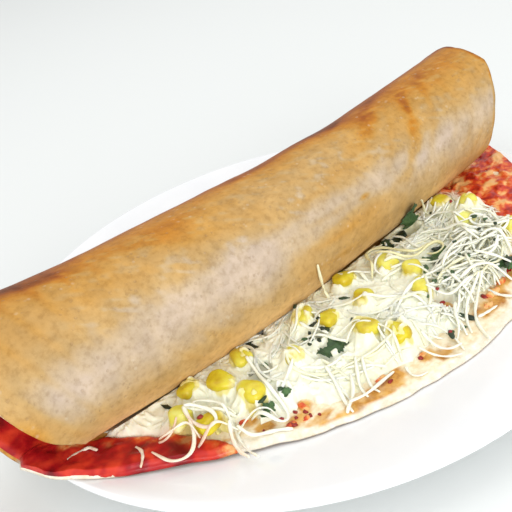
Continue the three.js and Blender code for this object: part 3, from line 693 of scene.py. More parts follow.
chutney, chutney_shader = finish_material("red_chutney", 0.30, 0.35)
thick_colour = ramp(chutney, speckle(chutney, 120, 2), [
    (0.32, (0.16, 0.003, 0.006, 1)), (0.5, (0.38, 0.007, 0.010, 1)), (0.66, (0.60, 0.040, 0.018, 1)),
])
thin_colour = ramp(chutney, speckle(chutney, 150, 4), [
    (0.34, (0.30, 0.010, 0.006, 1)), (0.45, (0.56, 0.042, 0.011, 1)), (0.53, (0.70, 0.17, 0.035, 1)),
    (0.60, (0.80, 0.44, 0.16, 1)),
])
join(chutney, blend_colours(chutney, read_values(chutney, "deep_and_shaded"), thin_colour, thick_colour),
     chutney_shader.inputs["Base Color"])
relief(chutney, chutney_shader, speckle(chutney, 300, 2), 0.0008, 0.3)
sauce.data.materials.append(chutney)
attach(sauce, "root")
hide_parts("sauce")


# The corn: boiled sweet corn kernels, cut from the cob and strewn over the filling.
# Each kernel is a soft wedge with a full, slightly dimpled crown and a paler cut tip.
KERNEL_RINGS = 22
KERNEL_SIDES = 28
KERNEL_NODES = sorted(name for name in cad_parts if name.startswith("corn_"))
TIP_COLOUR = (0.74, 0.66, 0.34, 1)
# How pale each kernel is, from golden to lemon white
PALE_KERNELS = {
    "corn_01": 0.10, "corn_02": 0.75, "corn_03": 0.0, "corn_04": 0.05, "corn_05": 0.15, "corn_06": 0.3,
    "corn_07": 0.6, "corn_08": 0.5, "corn_09": 0.15, "corn_10": 0.05, "corn_11": 0.15, "corn_12": 0.30,
    "corn_13": 0.0, "corn_14": 0.40, "corn_15": 0.50, "corn_16": 0.10, "corn_17": 0.6, "corn_18": 0.8,
    "corn_19": 0.5, "corn_20": 0.6,
}


def node_points(name):
    """Corners of a node's solid."""
    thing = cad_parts[name]
    return np.array([thing.matrix_world @ corner.co for corner in thing.data.vertices])


def long_axes(points):
    """Middle and three axes of a small solid, the longest first, with the half sizes."""
    middle = (points.max(0) + points.min(0)) / 2
    values, vectors = np.linalg.eigh(np.cov((points - points.mean(0)).T))
    axes = vectors[:, ::-1].T
    if axes[2][2] < 0:
        axes[2] = -axes[2]
    axes[1] = np.cross(axes[2], axes[0])
    spans = (points - middle) @ axes.T
    middle = middle + ((spans.max(0) + spans.min(0)) / 2) @ axes
    return middle, axes, (spans.max(0) - spans.min(0)) / 2


def kernel_points(seed):
    """Kernel one unit in half length, with its crown at +1 and its tip at -1."""
    draw = np.random.default_rng(seed)
    polar = np.linspace(0, math.pi, KERNEL_RINGS)[1:-1, None]
    turn = np.linspace(0, 2 * math.pi, KERNEL_SIDES, endpoint=False)[None]
    forward = np.sign(np.cos(polar)) * np.abs(np.cos(polar)) ** draw.uniform(0.60, 0.72) + 0 * turn
    reach = np.sin(polar) ** 0.66
    sideways = reach * np.sign(np.cos(turn)) * np.abs(np.cos(turn)) ** draw.uniform(0.62, 0.8)
    upward = reach * np.sign(np.sin(turn)) * np.abs(np.sin(turn)) ** 0.82
    narrowing = 1 - draw.uniform(0.26, 0.5) * smoothstep(-forward, -0.35, 1.0)
    upward = upward * (0.45 + 0.55 * narrowing)
    crown_dent = np.exp(-((forward - 0.55) ** 2) / 0.10 - ((sideways - draw.uniform(-0.2, 0.2)) / 0.32) ** 2)
    upward = upward - draw.uniform(0.10, 0.26) * crown_dent * (upward > 0)
    wobble = 0.05 * np.sin(3 * turn + draw.uniform(0, 6)) * np.sin(polar)
    wobble = wobble + 0.04 * np.sin(2 * turn + 4 * forward + draw.uniform(0, 6)) * np.sin(polar)
    bent = draw.uniform(-0.16, 0.16) * forward**2 * np.sin(polar)
    points = np.stack([forward, sideways * narrowing * (1 + wobble) + bent, upward * (1 + wobble)], -1)
    ends = np.array([[0.97, 0, 0], [-1.0, 0, 0]])
    return points, ends


def closed_rings(points, ends):
    """Points and faces of a closed skin over rings of points and two end points."""
    rings, sides = points.shape[:2]
    index = np.arange(rings * sides).reshape(rings, sides)
    a, b = index[:-1], np.roll(index[:-1], -1, 1)
    c, d = np.roll(index[1:], -1, 1), index[1:]
    faces = np.stack([a.ravel(), d.ravel(), c.ravel(), b.ravel()], -1).tolist()
    first, last = rings * sides, rings * sides + 1
    faces += [(first, k, (k + 1) % sides) for k in range(sides)]
    faces += [(last, index[-1, (k + 1) % sides], index[-1, k]) for k in range(sides)]
    return np.concatenate([points.reshape(-1, 3), ends]), faces


corn_skin, corn_shader = finish_material("sweet_corn", 0.28, 0.35)
corn_shader.inputs["Subsurface Weight"].default_value = 0.25
corn_shader.inputs["Subsurface Radius"].default_value = (1.0, 0.6, 0.15)
corn_shader.inputs["Subsurface Scale"].default_value = 0.002
ripe = speckle(corn_skin, 160)
golden_corn = ramp(corn_skin, ripe, [
    (0.3, (0.46, 0.29, 0.007, 1)), (0.5, (0.58, 0.46, 0.013, 1)), (0.7, (0.66, 0.60, 0.035, 1)),
])
lemon_corn = ramp(corn_skin, ripe, [
    (0.3, (0.62, 0.56, 0.06, 1)), (0.5, (0.72, 0.70, 0.12, 1)), (0.7, (0.78, 0.78, 0.28, 1)),
])
corn_body = blend_colours(corn_skin, read_values(corn_skin, "pale"), golden_corn, lemon_corn)
join(corn_skin, blend_colours(corn_skin, read_values(corn_skin, "tip"), corn_body, TIP_COLOUR),
     corn_shader.inputs["Base Color"])
relief(corn_skin, corn_shader, ripe, 0.0008, 0.3)
kernels = []
for order, name in enumerate(KERNEL_NODES):
    middle, axes, halves = long_axes(node_points(name))
    points, ends = kernel_points(100 + order)
    if order % 3 == 1:
        axes[0], axes[1] = -axes[0], -axes[1]
    shape, faces = closed_rings(points, ends)
    kernel = build(name + "_kernel", (shape * halves) @ axes + middle, faces)
    put_values(kernel, "tip", smoothstep(-shape[:, 0], 0.55, 1.0))
    put_values(kernel, "pale", np.full(len(shape), PALE_KERNELS[name]))
    kernel.data.materials.append(corn_skin)
    kernels.append((middle, axes, halves))
    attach(kernel, "root")
    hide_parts(name)


# The herbs: fresh coriander, torn by hand and dropped between the corn. The leaves are thin,
# lobed and wavy, with a raised rib. Small dark bits of leaf and spice lie between the shreds.
LEAF_NODES = sorted(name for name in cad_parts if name.startswith("leaf_"))
LEAF_COLUMNS = 72
LEAF_ROWS = 30
LEAF_THIN = 0.00035
DARK_LEAVES = {"leaf_1": 0.45, "leaf_2": 0.8, "leaf_4": 0.55, "leaf_5": 0.0, "leaf_6": 0.2, "leaf_7": 1.0}


def leaf_sheet(halves, seed):
    """Upper face of a lobed leaf in its own axes, in metres."""
    draw = np.random.default_rng(seed)
    u, v = np.meshgrid(np.linspace(0, 1, LEAF_COLUMNS), np.linspace(-1, 1, LEAF_ROWS))
    lobes = 0.74 + 0.26 * np.cos(u * 15 + 0.6 + 0.5 * np.sign(v))
    teeth = 1 + 0.13 * np.sin(u * 58 + draw.uniform(0, 6)) * np.abs(v)
    width = np.sin(math.pi * (0.04 + 0.92 * u)) ** 0.7 * lobes * teeth
    along, beside = (2 * u - 1) * halves[0], v * width * halves[1] * 1.05
    wave = 0.0007 * np.sin(draw.uniform(0, 6) + u * 5) * v + 0.0006 * np.sin(u * 9 + draw.uniform(0, 6))
    ribs = 0.00025 * np.exp(-((v / 0.07) ** 2))
    ribs = ribs + 0.00016 * np.maximum(0, np.sin((u * 7 - np.abs(v) * 1.6) * 2 * math.pi)) ** 6
    return np.stack([along, beside, wave + ribs], -1), np.abs(v)


herb_skin, herb_shader = finish_material("coriander", 0.42, 0.4)
fresh = ramp(herb_skin, speckle(herb_skin, 300), [
    (0.3, (0.030, 0.085, 0.022, 1)), (0.5, (0.060, 0.150, 0.040, 1)), (0.7, (0.130, 0.240, 0.085, 1)),
])
join(herb_skin, blend_colours(herb_skin, read_values(herb_skin, "dark"), fresh, (0.012, 0.022, 0.010, 1)),
     herb_shader.inputs["Base Color"])
relief(herb_skin, herb_shader, speckle(herb_skin, 900), 0.0003, 0.5)
leaf_places = []
for order, name in enumerate(LEAF_NODES):
    middle, axes, halves = long_axes(node_points(name))
    top_face, beside = leaf_sheet(halves, 300 + order)
    turned_top = top_face @ axes + middle
    leaf = slab(name + "_coriander", turned_top - axes[2] * LEAF_THIN, turned_top)
    dark = DARK_LEAVES.get(name, 0.25) + 0.1 * beside
    put_values(leaf, "dark", np.clip(np.concatenate([dark, dark]), 0, 1))
    leaf.data.materials.append(herb_skin)
    leaf_places.append((middle, axes, halves))
    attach(leaf, "root")
    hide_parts(name)


# The cheese: white cheese grated over the filling, half melted near the roll.
# A lumpy melted layer lies below. Over it lie curly shreds, clearest at the right.
CELL = 0.0005
PILE_X = np.arange(-0.146, 0.136, CELL)
PILE_Y = np.arange(-0.108, -0.008, CELL)
CHEESE_FRONT = [
    (-0.108, -0.025), (-0.096, -0.042), (-0.078, -0.058), (-0.050, -0.073), (-0.012, -0.084),
    (0.022, -0.086), (0.056, -0.076), (0.078, -0.052), (0.086, -0.026),
]
CHEESE_BACK = -0.0165
# The melted cheese reaches the roll at the left end and stops short of it elsewhere
TOUCHING_ROLL = (-0.086, -0.070)
ROLL_ROOM = 0.0004
# Places with no melted cheese, as x, y, half sizes along x and y
MELT_GAPS = [
    (-0.0735, -0.0560, 0.0045, 0.0032), (-0.0643, -0.0680, 0.0040, 0.0026),
    (-0.0550, -0.0655, 0.0032, 0.0046), (-0.0880, -0.0490, 0.0050, 0.0040),
    (-0.0707, -0.0625, 0.0060, 0.0030), (-0.0841, -0.0586, 0.0050, 0.0036),
    (-0.0130, -0.0820, 0.0050, 0.0030), (0.0150, -0.0715, 0.0032, 0.0048),
    (0.0148, -0.0712, 0.0036, 0.0044), (0.0260, -0.0830, 0.0100, 0.0060),
    (-0.0290, -0.0470, 0.0030, 0.0020), (0.0360, -0.0530, 0.0050, 0.0034),
    (0.0135, -0.0836, 0.0026, 0.0020), (0.0440, -0.0300, 0.0070, 0.0040),
    (-0.0420, -0.0240, 0.0050, 0.0025), (0.0480, -0.0640, 0.0030, 0.0018),
    (0.0420, -0.0690, 0.0030, 0.0016), (0.0540, -0.0560, 0.0034, 0.0020),
]
MELT_DEPTH = 0.0062
DISTINCT_DEPTH = 0.0047
# How far the cheese climbs each kernel: 0 to its middle, 1 right over it
VEILED_KERNELS = {
    "corn_01": 0.96, "corn_02": 0.88, "corn_03": 1.02, "corn_04": 0.68, "corn_05": 0.70, "corn_06": 0.92,
    "corn_07": 0.98, "corn_08": 1.06, "corn_09": 0.86, "corn_10": 0.66, "corn_11": 0.86, "corn_12": 0.90,
    "corn_13": 1.12, "corn_14": 0.68, "corn_15": 0.72, "corn_16": 0.78, "corn_17": 0.92, "corn_18": 1.04,
    "corn_19": 0.98, "corn_20": 1.25,
}
# How high the cheese comes over each lying leaf on average, in metres above its middle
COVERED_LEAVES = {"leaf_5": 0.0003, "leaf_6": 0.0011, "leaf_8": 0.0010}
PALEST_LEAF = "leaf_5"
# A leaf whose long axis rises more than this stands clear of the cheese
STEEP = 0.5
FOOTPRINT_MARGIN = 0.0003
THIN_COVER = 0.0010
MELT_COLUMNS = 520
MELT_ROWS = 176
MELT_LEFT = -0.119
MELT_WIDTH = 0.207
MELT_FRONT_MARGIN = 0.004
MELT_FLOOR_ROWS = 5
MELT_FLOOR_DROP = 0.0014
# Shreds that have sunk into the layer, which leave low ridges in it
FINE_CELL = 0.00025
FINE_X = np.arange(-0.124, 0.094, FINE_CELL)
FINE_Y = np.arange(-0.096, -0.012, FINE_CELL)
SUNK_SHREDS = 1150
SUNK_HALF_WIDTH = (0.00055, 0.0008)
MELTED_RIDGE = 0.0012
DISTINCT_RIDGE = 0.0013
# Where the shreds lie loose over dark gaps: middle, half sizes and turn
TANGLE = (0.0400, -0.0670)
TANGLE_HALVES = (0.0210, 0.0130)
TANGLE_TURN = 0.35
SHRED_SIDES = 6
SHRED_STEP = 0.0007


def smoothed(values, times, axis):
    """Repeated averaging of neighbours along one axis, with the ends kept."""
    values = np.moveaxis(np.array(values, float), axis, 0)
    for _ in range(times):
        values[1:-1] = 0.25 * values[:-2] + 0.5 * values[1:-1] + 0.25 * values[2:]
    return np.moveaxis(values, 0, axis)


def filled_top(x, y):
    """Height of the open flap's soft face."""
    return flap_under(x, y) + DOSA_THICKNESS


FRONT_ROUTE = smooth_route(CHEESE_FRONT, 200)


def front_of_cheese(x):
    return np.interp(x, FRONT_ROUTE[:, 0], FRONT_ROUTE[:, 1])


def rotated(x, y, turn):
    return x * math.cos(turn) + y * math.sin(turn), y * math.cos(turn) - x * math.sin(turn)


def distinctness(x, y):
    """1 where the shreds are still separate, 0 where they have melted together."""
    ragged = 0.3 * soft_noise(x, y, 0.007, 47)
    along, beside = rotated(x - TANGLE[0], y - TANGLE[1], TANGLE_TURN)
    tangle = 1 - smoothstep(np.hypot(along / TANGLE_HALVES[0], beside / TANGLE_HALVES[1]) + ragged, 0.8, 1.3)
    right = 0.35 * smoothstep(x, 0.030, 0.046)
    left = smoothstep(-x, 0.060, 0.072) * smoothstep(-y, 0.036, 0.044)
    front = 0.5 * smoothstep(-y, 0.070, 0.080) * smoothstep(x, -0.030, -0.014)
    return np.maximum(np.maximum(right, tangle), np.maximum(left, front))


def curl(start, heading, length, draw, tightness=1.0):
    """Flat curly route that starts at a place and wanders."""
    count = max(8, int(length / SHRED_STEP))
    bend = draw.normal(0, 34) * tightness + draw.normal(0, 45, 6) * tightness
    bend = np.interp(np.linspace(0, 5, count), range(6), bend)
    direction = heading + np.cumsum(bend) * SHRED_STEP
    steps = np.stack([np.cos(direction), np.sin(direction)], -1) * SHRED_STEP
    return np.array(start) + np.cumsum(steps, 0)


def sunk_ridges():
    """Height from 0 to 1 of shreds that have melted into the layer, on a fine grid."""
    draw = np.random.default_rng(61)
    ridges = np.zeros((len(FINE_Y), len(FINE_X)))
    for _ in range(SUNK_SHREDS):
        start = (draw.uniform(FINE_X[0], FINE_X[-1]), draw.uniform(FINE_Y[0], FINE_Y[-1]))
        route = curl(start, draw.uniform(0, 2 * math.pi), draw.uniform(0.008, 0.026), draw)
        route = smooth_route(route, 3 * len(route))
        half, high = draw.uniform(*SUNK_HALF_WIDTH), draw.uniform(0.3, 1.0)
        column = ((route[:, 0] - FINE_X[0]) / FINE_CELL).astype(int)
        row = ((route[:, 1] - FINE_Y[0]) / FINE_CELL).astype(int)
        reach = int(half / FINE_CELL)
        for i in range(-reach, reach + 1):
            for j in range(-reach, reach + 1):
                off = math.hypot(i, j) * FINE_CELL / half
                if off < 1:
                    spot = (np.clip(row + i, 0, len(FINE_Y) - 1), np.clip(column + j, 0, len(FINE_X) - 1))
                    np.maximum.at(ridges, spot, math.sqrt(1 - off**2) * high)
    return smoothed(smoothed(ridges, 2, 0), 2, 1)


RIDGES = sunk_ridges()


def ridge_height(x, y):
    """Height of the sunk shreds at each place, from 0 to 1."""
    column = np.clip(((x - FINE_X[0]) / FINE_CELL).round().astype(int), 0, len(FINE_X) - 1)
    row = np.clip(((y - FINE_Y[0]) / FINE_CELL).round().astype(int), 0, len(FINE_Y) - 1)
    return RIDGES[row, column]


def room_under_roll(x, y):
    """Free height between the soft face and the roll's outside."""
    radius = roll_radius(x)
    beside = np.minimum(np.abs(y - ROLL_AXIS_Y), radius)
    hanging = flap_under(x, ROLL_AXIS_Y + 0 * x) + radius - np.sqrt(radius**2 - beside**2)
    room = hanging - filled_top(x, y) - ROLL_ROOM
    return np.where(np.abs(y - ROLL_AXIS_Y) < radius, room, 1)


def footprint(middle, axes, halves, x, y):
    """Squared distance from a small piece's middle, 1 at its outline seen from above."""
    away = 0 * x
    for axis, half in zip(axes[:2], halves[:2]):
        span = np.linalg.norm(axis[:2])
        along = ((x - middle[0]) * axis[0] + (y - middle[1]) * axis[1]) / span
        away = away + (along / (half * span + FOOTPRINT_MARGIN)) ** 2
    return away


def melt_depth(x, y):
    """Depth of the melted layer above the soft face, below 0 where there is none."""
    ragged = 0.003 * soft_noise(x, y, 0.008, 41) + 0.0015 * soft_noise(x, y, 0.003, 42)
    inside = smoothstep(y - front_of_cheese(x) + ragged, 0, 0.010)
    inside = inside * smoothstep(x + ragged, -0.116, -0.104) * smoothstep(-x + ragged, -0.086, -0.078)
    short_of_roll = smoothstep(-y + 0.5 * ragged, 0.0200, 0.0245)
    inside = inside * np.maximum(short_of_roll, 1 - smoothstep(x + ragged, *TOUCHING_ROLL))
    lumps = 0.6 * soft_noise(x, y, 0.0062, 43) + 0.4 * soft_noise(x, y, 0.0034, 44)
    apart = distinctness(x, y)
    thinning = 0.38 + 0.62 * smoothstep(y - front_of_cheese(x), 0.004, 0.027)
    typical = (MELT_DEPTH + (DISTINCT_DEPTH - MELT_DEPTH) * apart) * thinning
    highest = 0.0016 + 0.62 * np.maximum(y - front_of_cheese(x) + ragged, 0)
    depth = np.minimum(typical * (1 + 0.18 * lumps), highest)
    uneven = 0.5 * soft_noise(x, y, 0.0042, 46) + 0.3 * soft_noise(x, y, 0.0021, 48)
    for name, (middle, axes, halves) in zip(KERNEL_NODES, kernels):
        run = ((x - middle[0]) * axes[0][0] + (y - middle[1]) * axes[0][1]) / halves[0]
        side = ((x - middle[0]) * axes[1][0] + (y - middle[1]) * axes[1][1]) / halves[1]
        away = np.hypot(run, side)
        seat = middle[2] - filled_top(x, y)
        depth = np.maximum(depth, seat * (1 - smoothstep(away, 0.7, 2.6)) - 0.3 * halves[2])
        climb = halves[2] * (1.35 * VEILED_KERNELS[name] - 0.35 + uneven)
        depth = np.maximum(depth, seat + climb - 0.0010 * away - 0.0048 * np.maximum(away - 0.85, 0))
    depth = depth + ridge_height(x, y) * (MELTED_RIDGE + (DISTINCT_RIDGE - MELTED_RIDGE) * apart)
    for name, (middle, axes, halves) in zip(LEAF_NODES, leaf_places):
        if abs(axes[0][2]) < STEEP:
            over = middle[2] - filled_top(x, y) + COVERED_LEAVES.get(name, 0.0)
            over = over + 0.0022 * soft_noise(x, y, 0.0032, 49)
            near = 1 - smoothstep(footprint(middle, axes, halves, x, y), 1.0, 1.9)
            settled = over if name in COVERED_LEAVES else np.minimum(depth, over)
            depth = depth + (settled - depth) * near
    depth = depth * (1 - patches(x, y, MELT_GAPS))
    depth = depth * inside - 0.0012 * (1 - inside) - 0.0006
    return np.minimum(depth, room_under_roll(x, y))


def covered_slab(name, top, floor_rows, depth_below):
    """A fine upper face over a plain underside that only has a few rows."""
    rows, columns = top.shape[:2]
    picked = np.linspace(0, rows - 1, floor_rows).astype(int)
    floor = top[picked].copy()
    floor[..., 2] = filled_top(floor[..., 0], floor[..., 1]) - depth_below
    index = np.arange(rows * columns).reshape(rows, columns)
    low = np.arange(floor_rows * columns).reshape(floor_rows, columns) + rows * columns
    a, b, c, d = index[:-1, :-1], index[:-1, 1:], index[1:, 1:], index[1:, :-1]
    faces = np.stack([q.ravel() for q in (a, b, c, d)], -1).tolist()
    a, b, c, d = low[:-1, :-1], low[:-1, 1:], low[1:, 1:], low[1:, :-1]
    faces += np.stack([q.ravel() for q in (a, d, c, b)], -1).tolist()
    faces += np.stack([low[0, :-1], low[0, 1:], index[0, 1:], index[0, :-1]], -1).tolist()
    faces += np.stack([low[-1, 1:], low[-1, :-1], index[-1, :-1], index[-1, 1:]], -1).tolist()
    faces.append(index[::-1, -1].tolist()[::-1] + low[::-1, -1].tolist())
    faces.append(index[::-1, 0].tolist() + low[:, 0].tolist())
    return build(name, np.concatenate([top.reshape(-1, 3), floor.reshape(-1, 3)]), faces)


u, v = np.meshgrid(np.linspace(0, 1, MELT_COLUMNS), np.linspace(0, 1, MELT_ROWS))
x = MELT_LEFT + MELT_WIDTH * u
y = (front_of_cheese(x) - MELT_FRONT_MARGIN) * (1 - v) + CHEESE_BACK * v
top = np.stack([x, y, filled_top(x, y) + melt_depth(x, y)], -1)
melt = covered_slab("cheese_melted", top, MELT_FLOOR_ROWS, MELT_FLOOR_DROP)

pile_x, pile_y = np.meshgrid(PILE_X, PILE_Y)
wetness = np.maximum(left_sauce(pile_x, pile_y), right_sauce(pile_x, pile_y))
pile = filled_top(pile_x, pile_y) + np.maximum(melt_depth(pile_x, pile_y), SAUCE_DEPTH * 1.1 * wetness)
for middle, axes, halves in kernels:
    flat = np.stack([pile_x - middle[0], pile_y - middle[1]], -1)
    run = flat @ axes[0][:2] / halves[0]
    side = flat @ axes[1][:2] / halves[1]
    bulge = np.clip(1 - run**2 - side**2, 0, 1) ** 0.5
    pile = np.where(bulge > 0, np.maximum(pile, middle[2] + halves[2] * bulge), pile)
toppings = pile.copy()
standing = 0 * pile
for middle, axes, halves in leaf_places:
    away = footprint(middle, axes, halves, pile_x, pile_y)
    if abs(axes[0][2]) < STEEP:
        pile = np.where(away < 1.0, np.maximum(pile, middle[2] + 0.0006), pile)
    else:
        standing = np.where(away < 1.8, 1, standing)
    toppings = np.where(away < 1.5, filled_top(pile_x, pile_y) + 0.02, toppings)


def pile_at(places):
    """Row and column of the pile's grid under each place."""
    column = np.clip(((places[:, 0] - PILE_X[0]) / CELL).round().astype(int), 1, len(PILE_X) - 2)
    row = np.clip(((places[:, 1] - PILE_Y[0]) / CELL).round().astype(int), 1, len(PILE_Y) - 2)
    return row, column


def lay(route, radius, stiffness, sink):
    """Drops a shred's route on the pile and raises the pile under it."""
    row, column = pile_at(route)
    under = np.max([pile[row + i, column + j] for i in (-1, 0, 1) for j in (-1, 0, 1)], axis=0)
    height = under.copy()
    for _ in range(stiffness):
        height = np.maximum(under, smoothed(height, 2, 0))
    settled = smoothed(height, 6, 0) + radius * (1 - sink)
    axis_z = flap_under(route[:, 0], ROLL_AXIS_Y + 0 * route[:, 0]) + roll_radius(route[:, 0])
    off_axis = np.stack([route[:, 1] - ROLL_AXIS_Y, settled - axis_z], -1)
    away = np.linalg.norm(off_axis, axis=-1, keepdims=True)
    room = (roll_radius(route[:, 0]) + radius + 0.0003)[:, None]
    pushed = off_axis * np.maximum(1, room / away)
    placed = np.stack([route[:, 0], ROLL_AXIS_Y + pushed[:, 0], axis_z + pushed[:, 1]], -1)
    placed = np.stack([smoothed(placed[:, k], 3, 0) for k in range(3)], -1)
    row, column = pile_at(placed)
    reach = int(math.ceil(radius / CELL))
    for i in range(-reach, reach + 1):
        for j in range(-reach, reach + 1):
            off = math.hypot(i, j) * CELL
            if off < radius:
                rise = math.sqrt(radius**2 - off**2) * (1 - sink)
                spot = (np.clip(row + i, 0, len(PILE_Y) - 1), np.clip(column + j, 0, len(PILE_X) - 1))
                np.maximum.at(pile, spot, placed[:, 2] + rise)
    return placed


def tube(route, radius, draw):
    """Rings of points round a route: an uneven oval strip with blunt ends."""
    count = len(route)
    forward = np.gradient(route, axis=0)
    forward /= np.linalg.norm(forward, axis=-1, keepdims=True)
    side = np.cross(forward, (0, 0, 1))
    side /= np.maximum(np.linalg.norm(side, axis=-1, keepdims=True), 1e-6)
    above = np.cross(side, forward)
    turn = np.linspace(0, 2 * math.pi, SHRED_SIDES, endpoint=False)
    twist = draw.uniform(-0.5, 0.5) + np.linspace(0, draw.uniform(-1.5, 1.5), count)[:, None]
    flat, tall = draw.uniform(1.05, 1.35), draw.uniform(0.6, 0.8)
    oval_x = np.cos(turn)[None] * flat
    oval_y = np.sin(turn)[None] * tall
    across_x = oval_x * np.cos(twist) - oval_y * np.sin(twist)
    across_y = oval_x * np.sin(twist) + oval_y * np.cos(twist)
    share = np.linspace(0, 1, count)
    girth = radius * (0.86 + 0.14 * np.sin(share * draw.uniform(9, 22) + draw.uniform(0, 6)))
    girth = girth * (0.7 + 0.3 * smoothstep(np.minimum(share, 1 - share) * count, 0, 2.0))
    rings = route[:, None] + girth[:, None, None] * (
        across_x[..., None] * side[:, None] + across_y[..., None] * above[:, None])
    ends = np.array([route[0] - forward[0] * radius * 0.4, route[-1] + forward[-1] * radius * 0.4])
    return rings, ends


class Bundle:
    """Collects shreds that become one piece."""

    def __init__(self):
        self.points, self.faces, self.tint, self.count = [], [], [], 0

    def add(self, rings, ends, tint):
        points, faces = closed_rings(rings, ends)
        self.points.append(points)
        self.faces += (np.array([list(f) for f in faces if len(f) == 4]) + self.count).tolist()
        self.faces += [tuple(k + self.count for k in f) for f in faces if len(f) == 3]
        self.tint.append(np.full(len(points), tint))
        self.count += len(points)


FLAP_ROUTE = smooth_route(FLAP_EDGE, 300)


def depth_inside(x, y):
    """How far a place lies inside the flap's front edge, along Y."""
    return y - np.interp(x, FLAP_ROUTE[:, 0], FLAP_ROUTE[:, 1])


def staining(x, y):
    """How far the sauce has coloured the cheese at each place."""
    right = smoothstep(x - rows_to_x(RIGHT_BOUNDARY, y), -0.002, 0.004)
    left = 0.45 * smoothstep(rows_to_x(LEFT_BOUNDARY, y) - x, -0.004, 0.002)
    uneven = 0.75 + 0.45 * soft_noise(x, y, 0.0045, 51) + 0.3 * soft_noise(x, y, 0.0018, 53)
    return np.clip(np.maximum(uneven * right, left * uneven), 0, 1)


# Golden stretches that shreds leave clear, as x, y, half sizes along x and y
BARE_GOLD = [
    (0.0260, -0.0850, 0.0120, 0.0060), (-0.0400, -0.0800, 0.0180, 0.0040), (0.0440, -0.0810, 0.0090, 0.0040),
    (0.0570, -0.0780, 0.0110, 0.0055), (-0.0150, -0.0830, 0.0120, 0.0035), (0.0150, -0.0715, 0.0038, 0.0052),
]


def sample_weight(x, y):
    """How many shreds lie about a place, from 0 to 1."""
    inside = smoothstep(y - front_of_cheese(x), -0.003, 0.002) * smoothstep(-y, 0.021, 0.026)
    inside = inside * smoothstep(x, -0.108, -0.098) * smoothstep(-x, -0.086, -0.078)
    apart = distinctness(x, y)
    weight = inside * (0.20 + 0.80 * apart**2)
    hanging = smoothstep(-y, 0.055, 0.062) * smoothstep(-x, 0.014, 0.024)
    weight = weight * (1 - 0.80 * smoothstep(-x, 0.052, 0.062)) * (1 - 0.45 * hanging)
    stained = 0.04 * smoothstep(x - rows_to_x(RIGHT_BOUNDARY, y), 0, 0.004)
    stained = stained * smoothstep(depth_inside(x, y), 0.003, 0.008) * smoothstep(-y, 0.019, 0.024)
    return np.maximum(weight, stained) * (1 - 0.97 * patches(x, y, MELT_GAPS + BARE_GOLD))


def pile_limit(x, y):
    """Highest mean height above the soft face at which another shred is laid."""
    return 0.0084 - 0.0050 * smoothstep(x - rows_to_x(RIGHT_BOUNDARY, y), 0, 0.004)


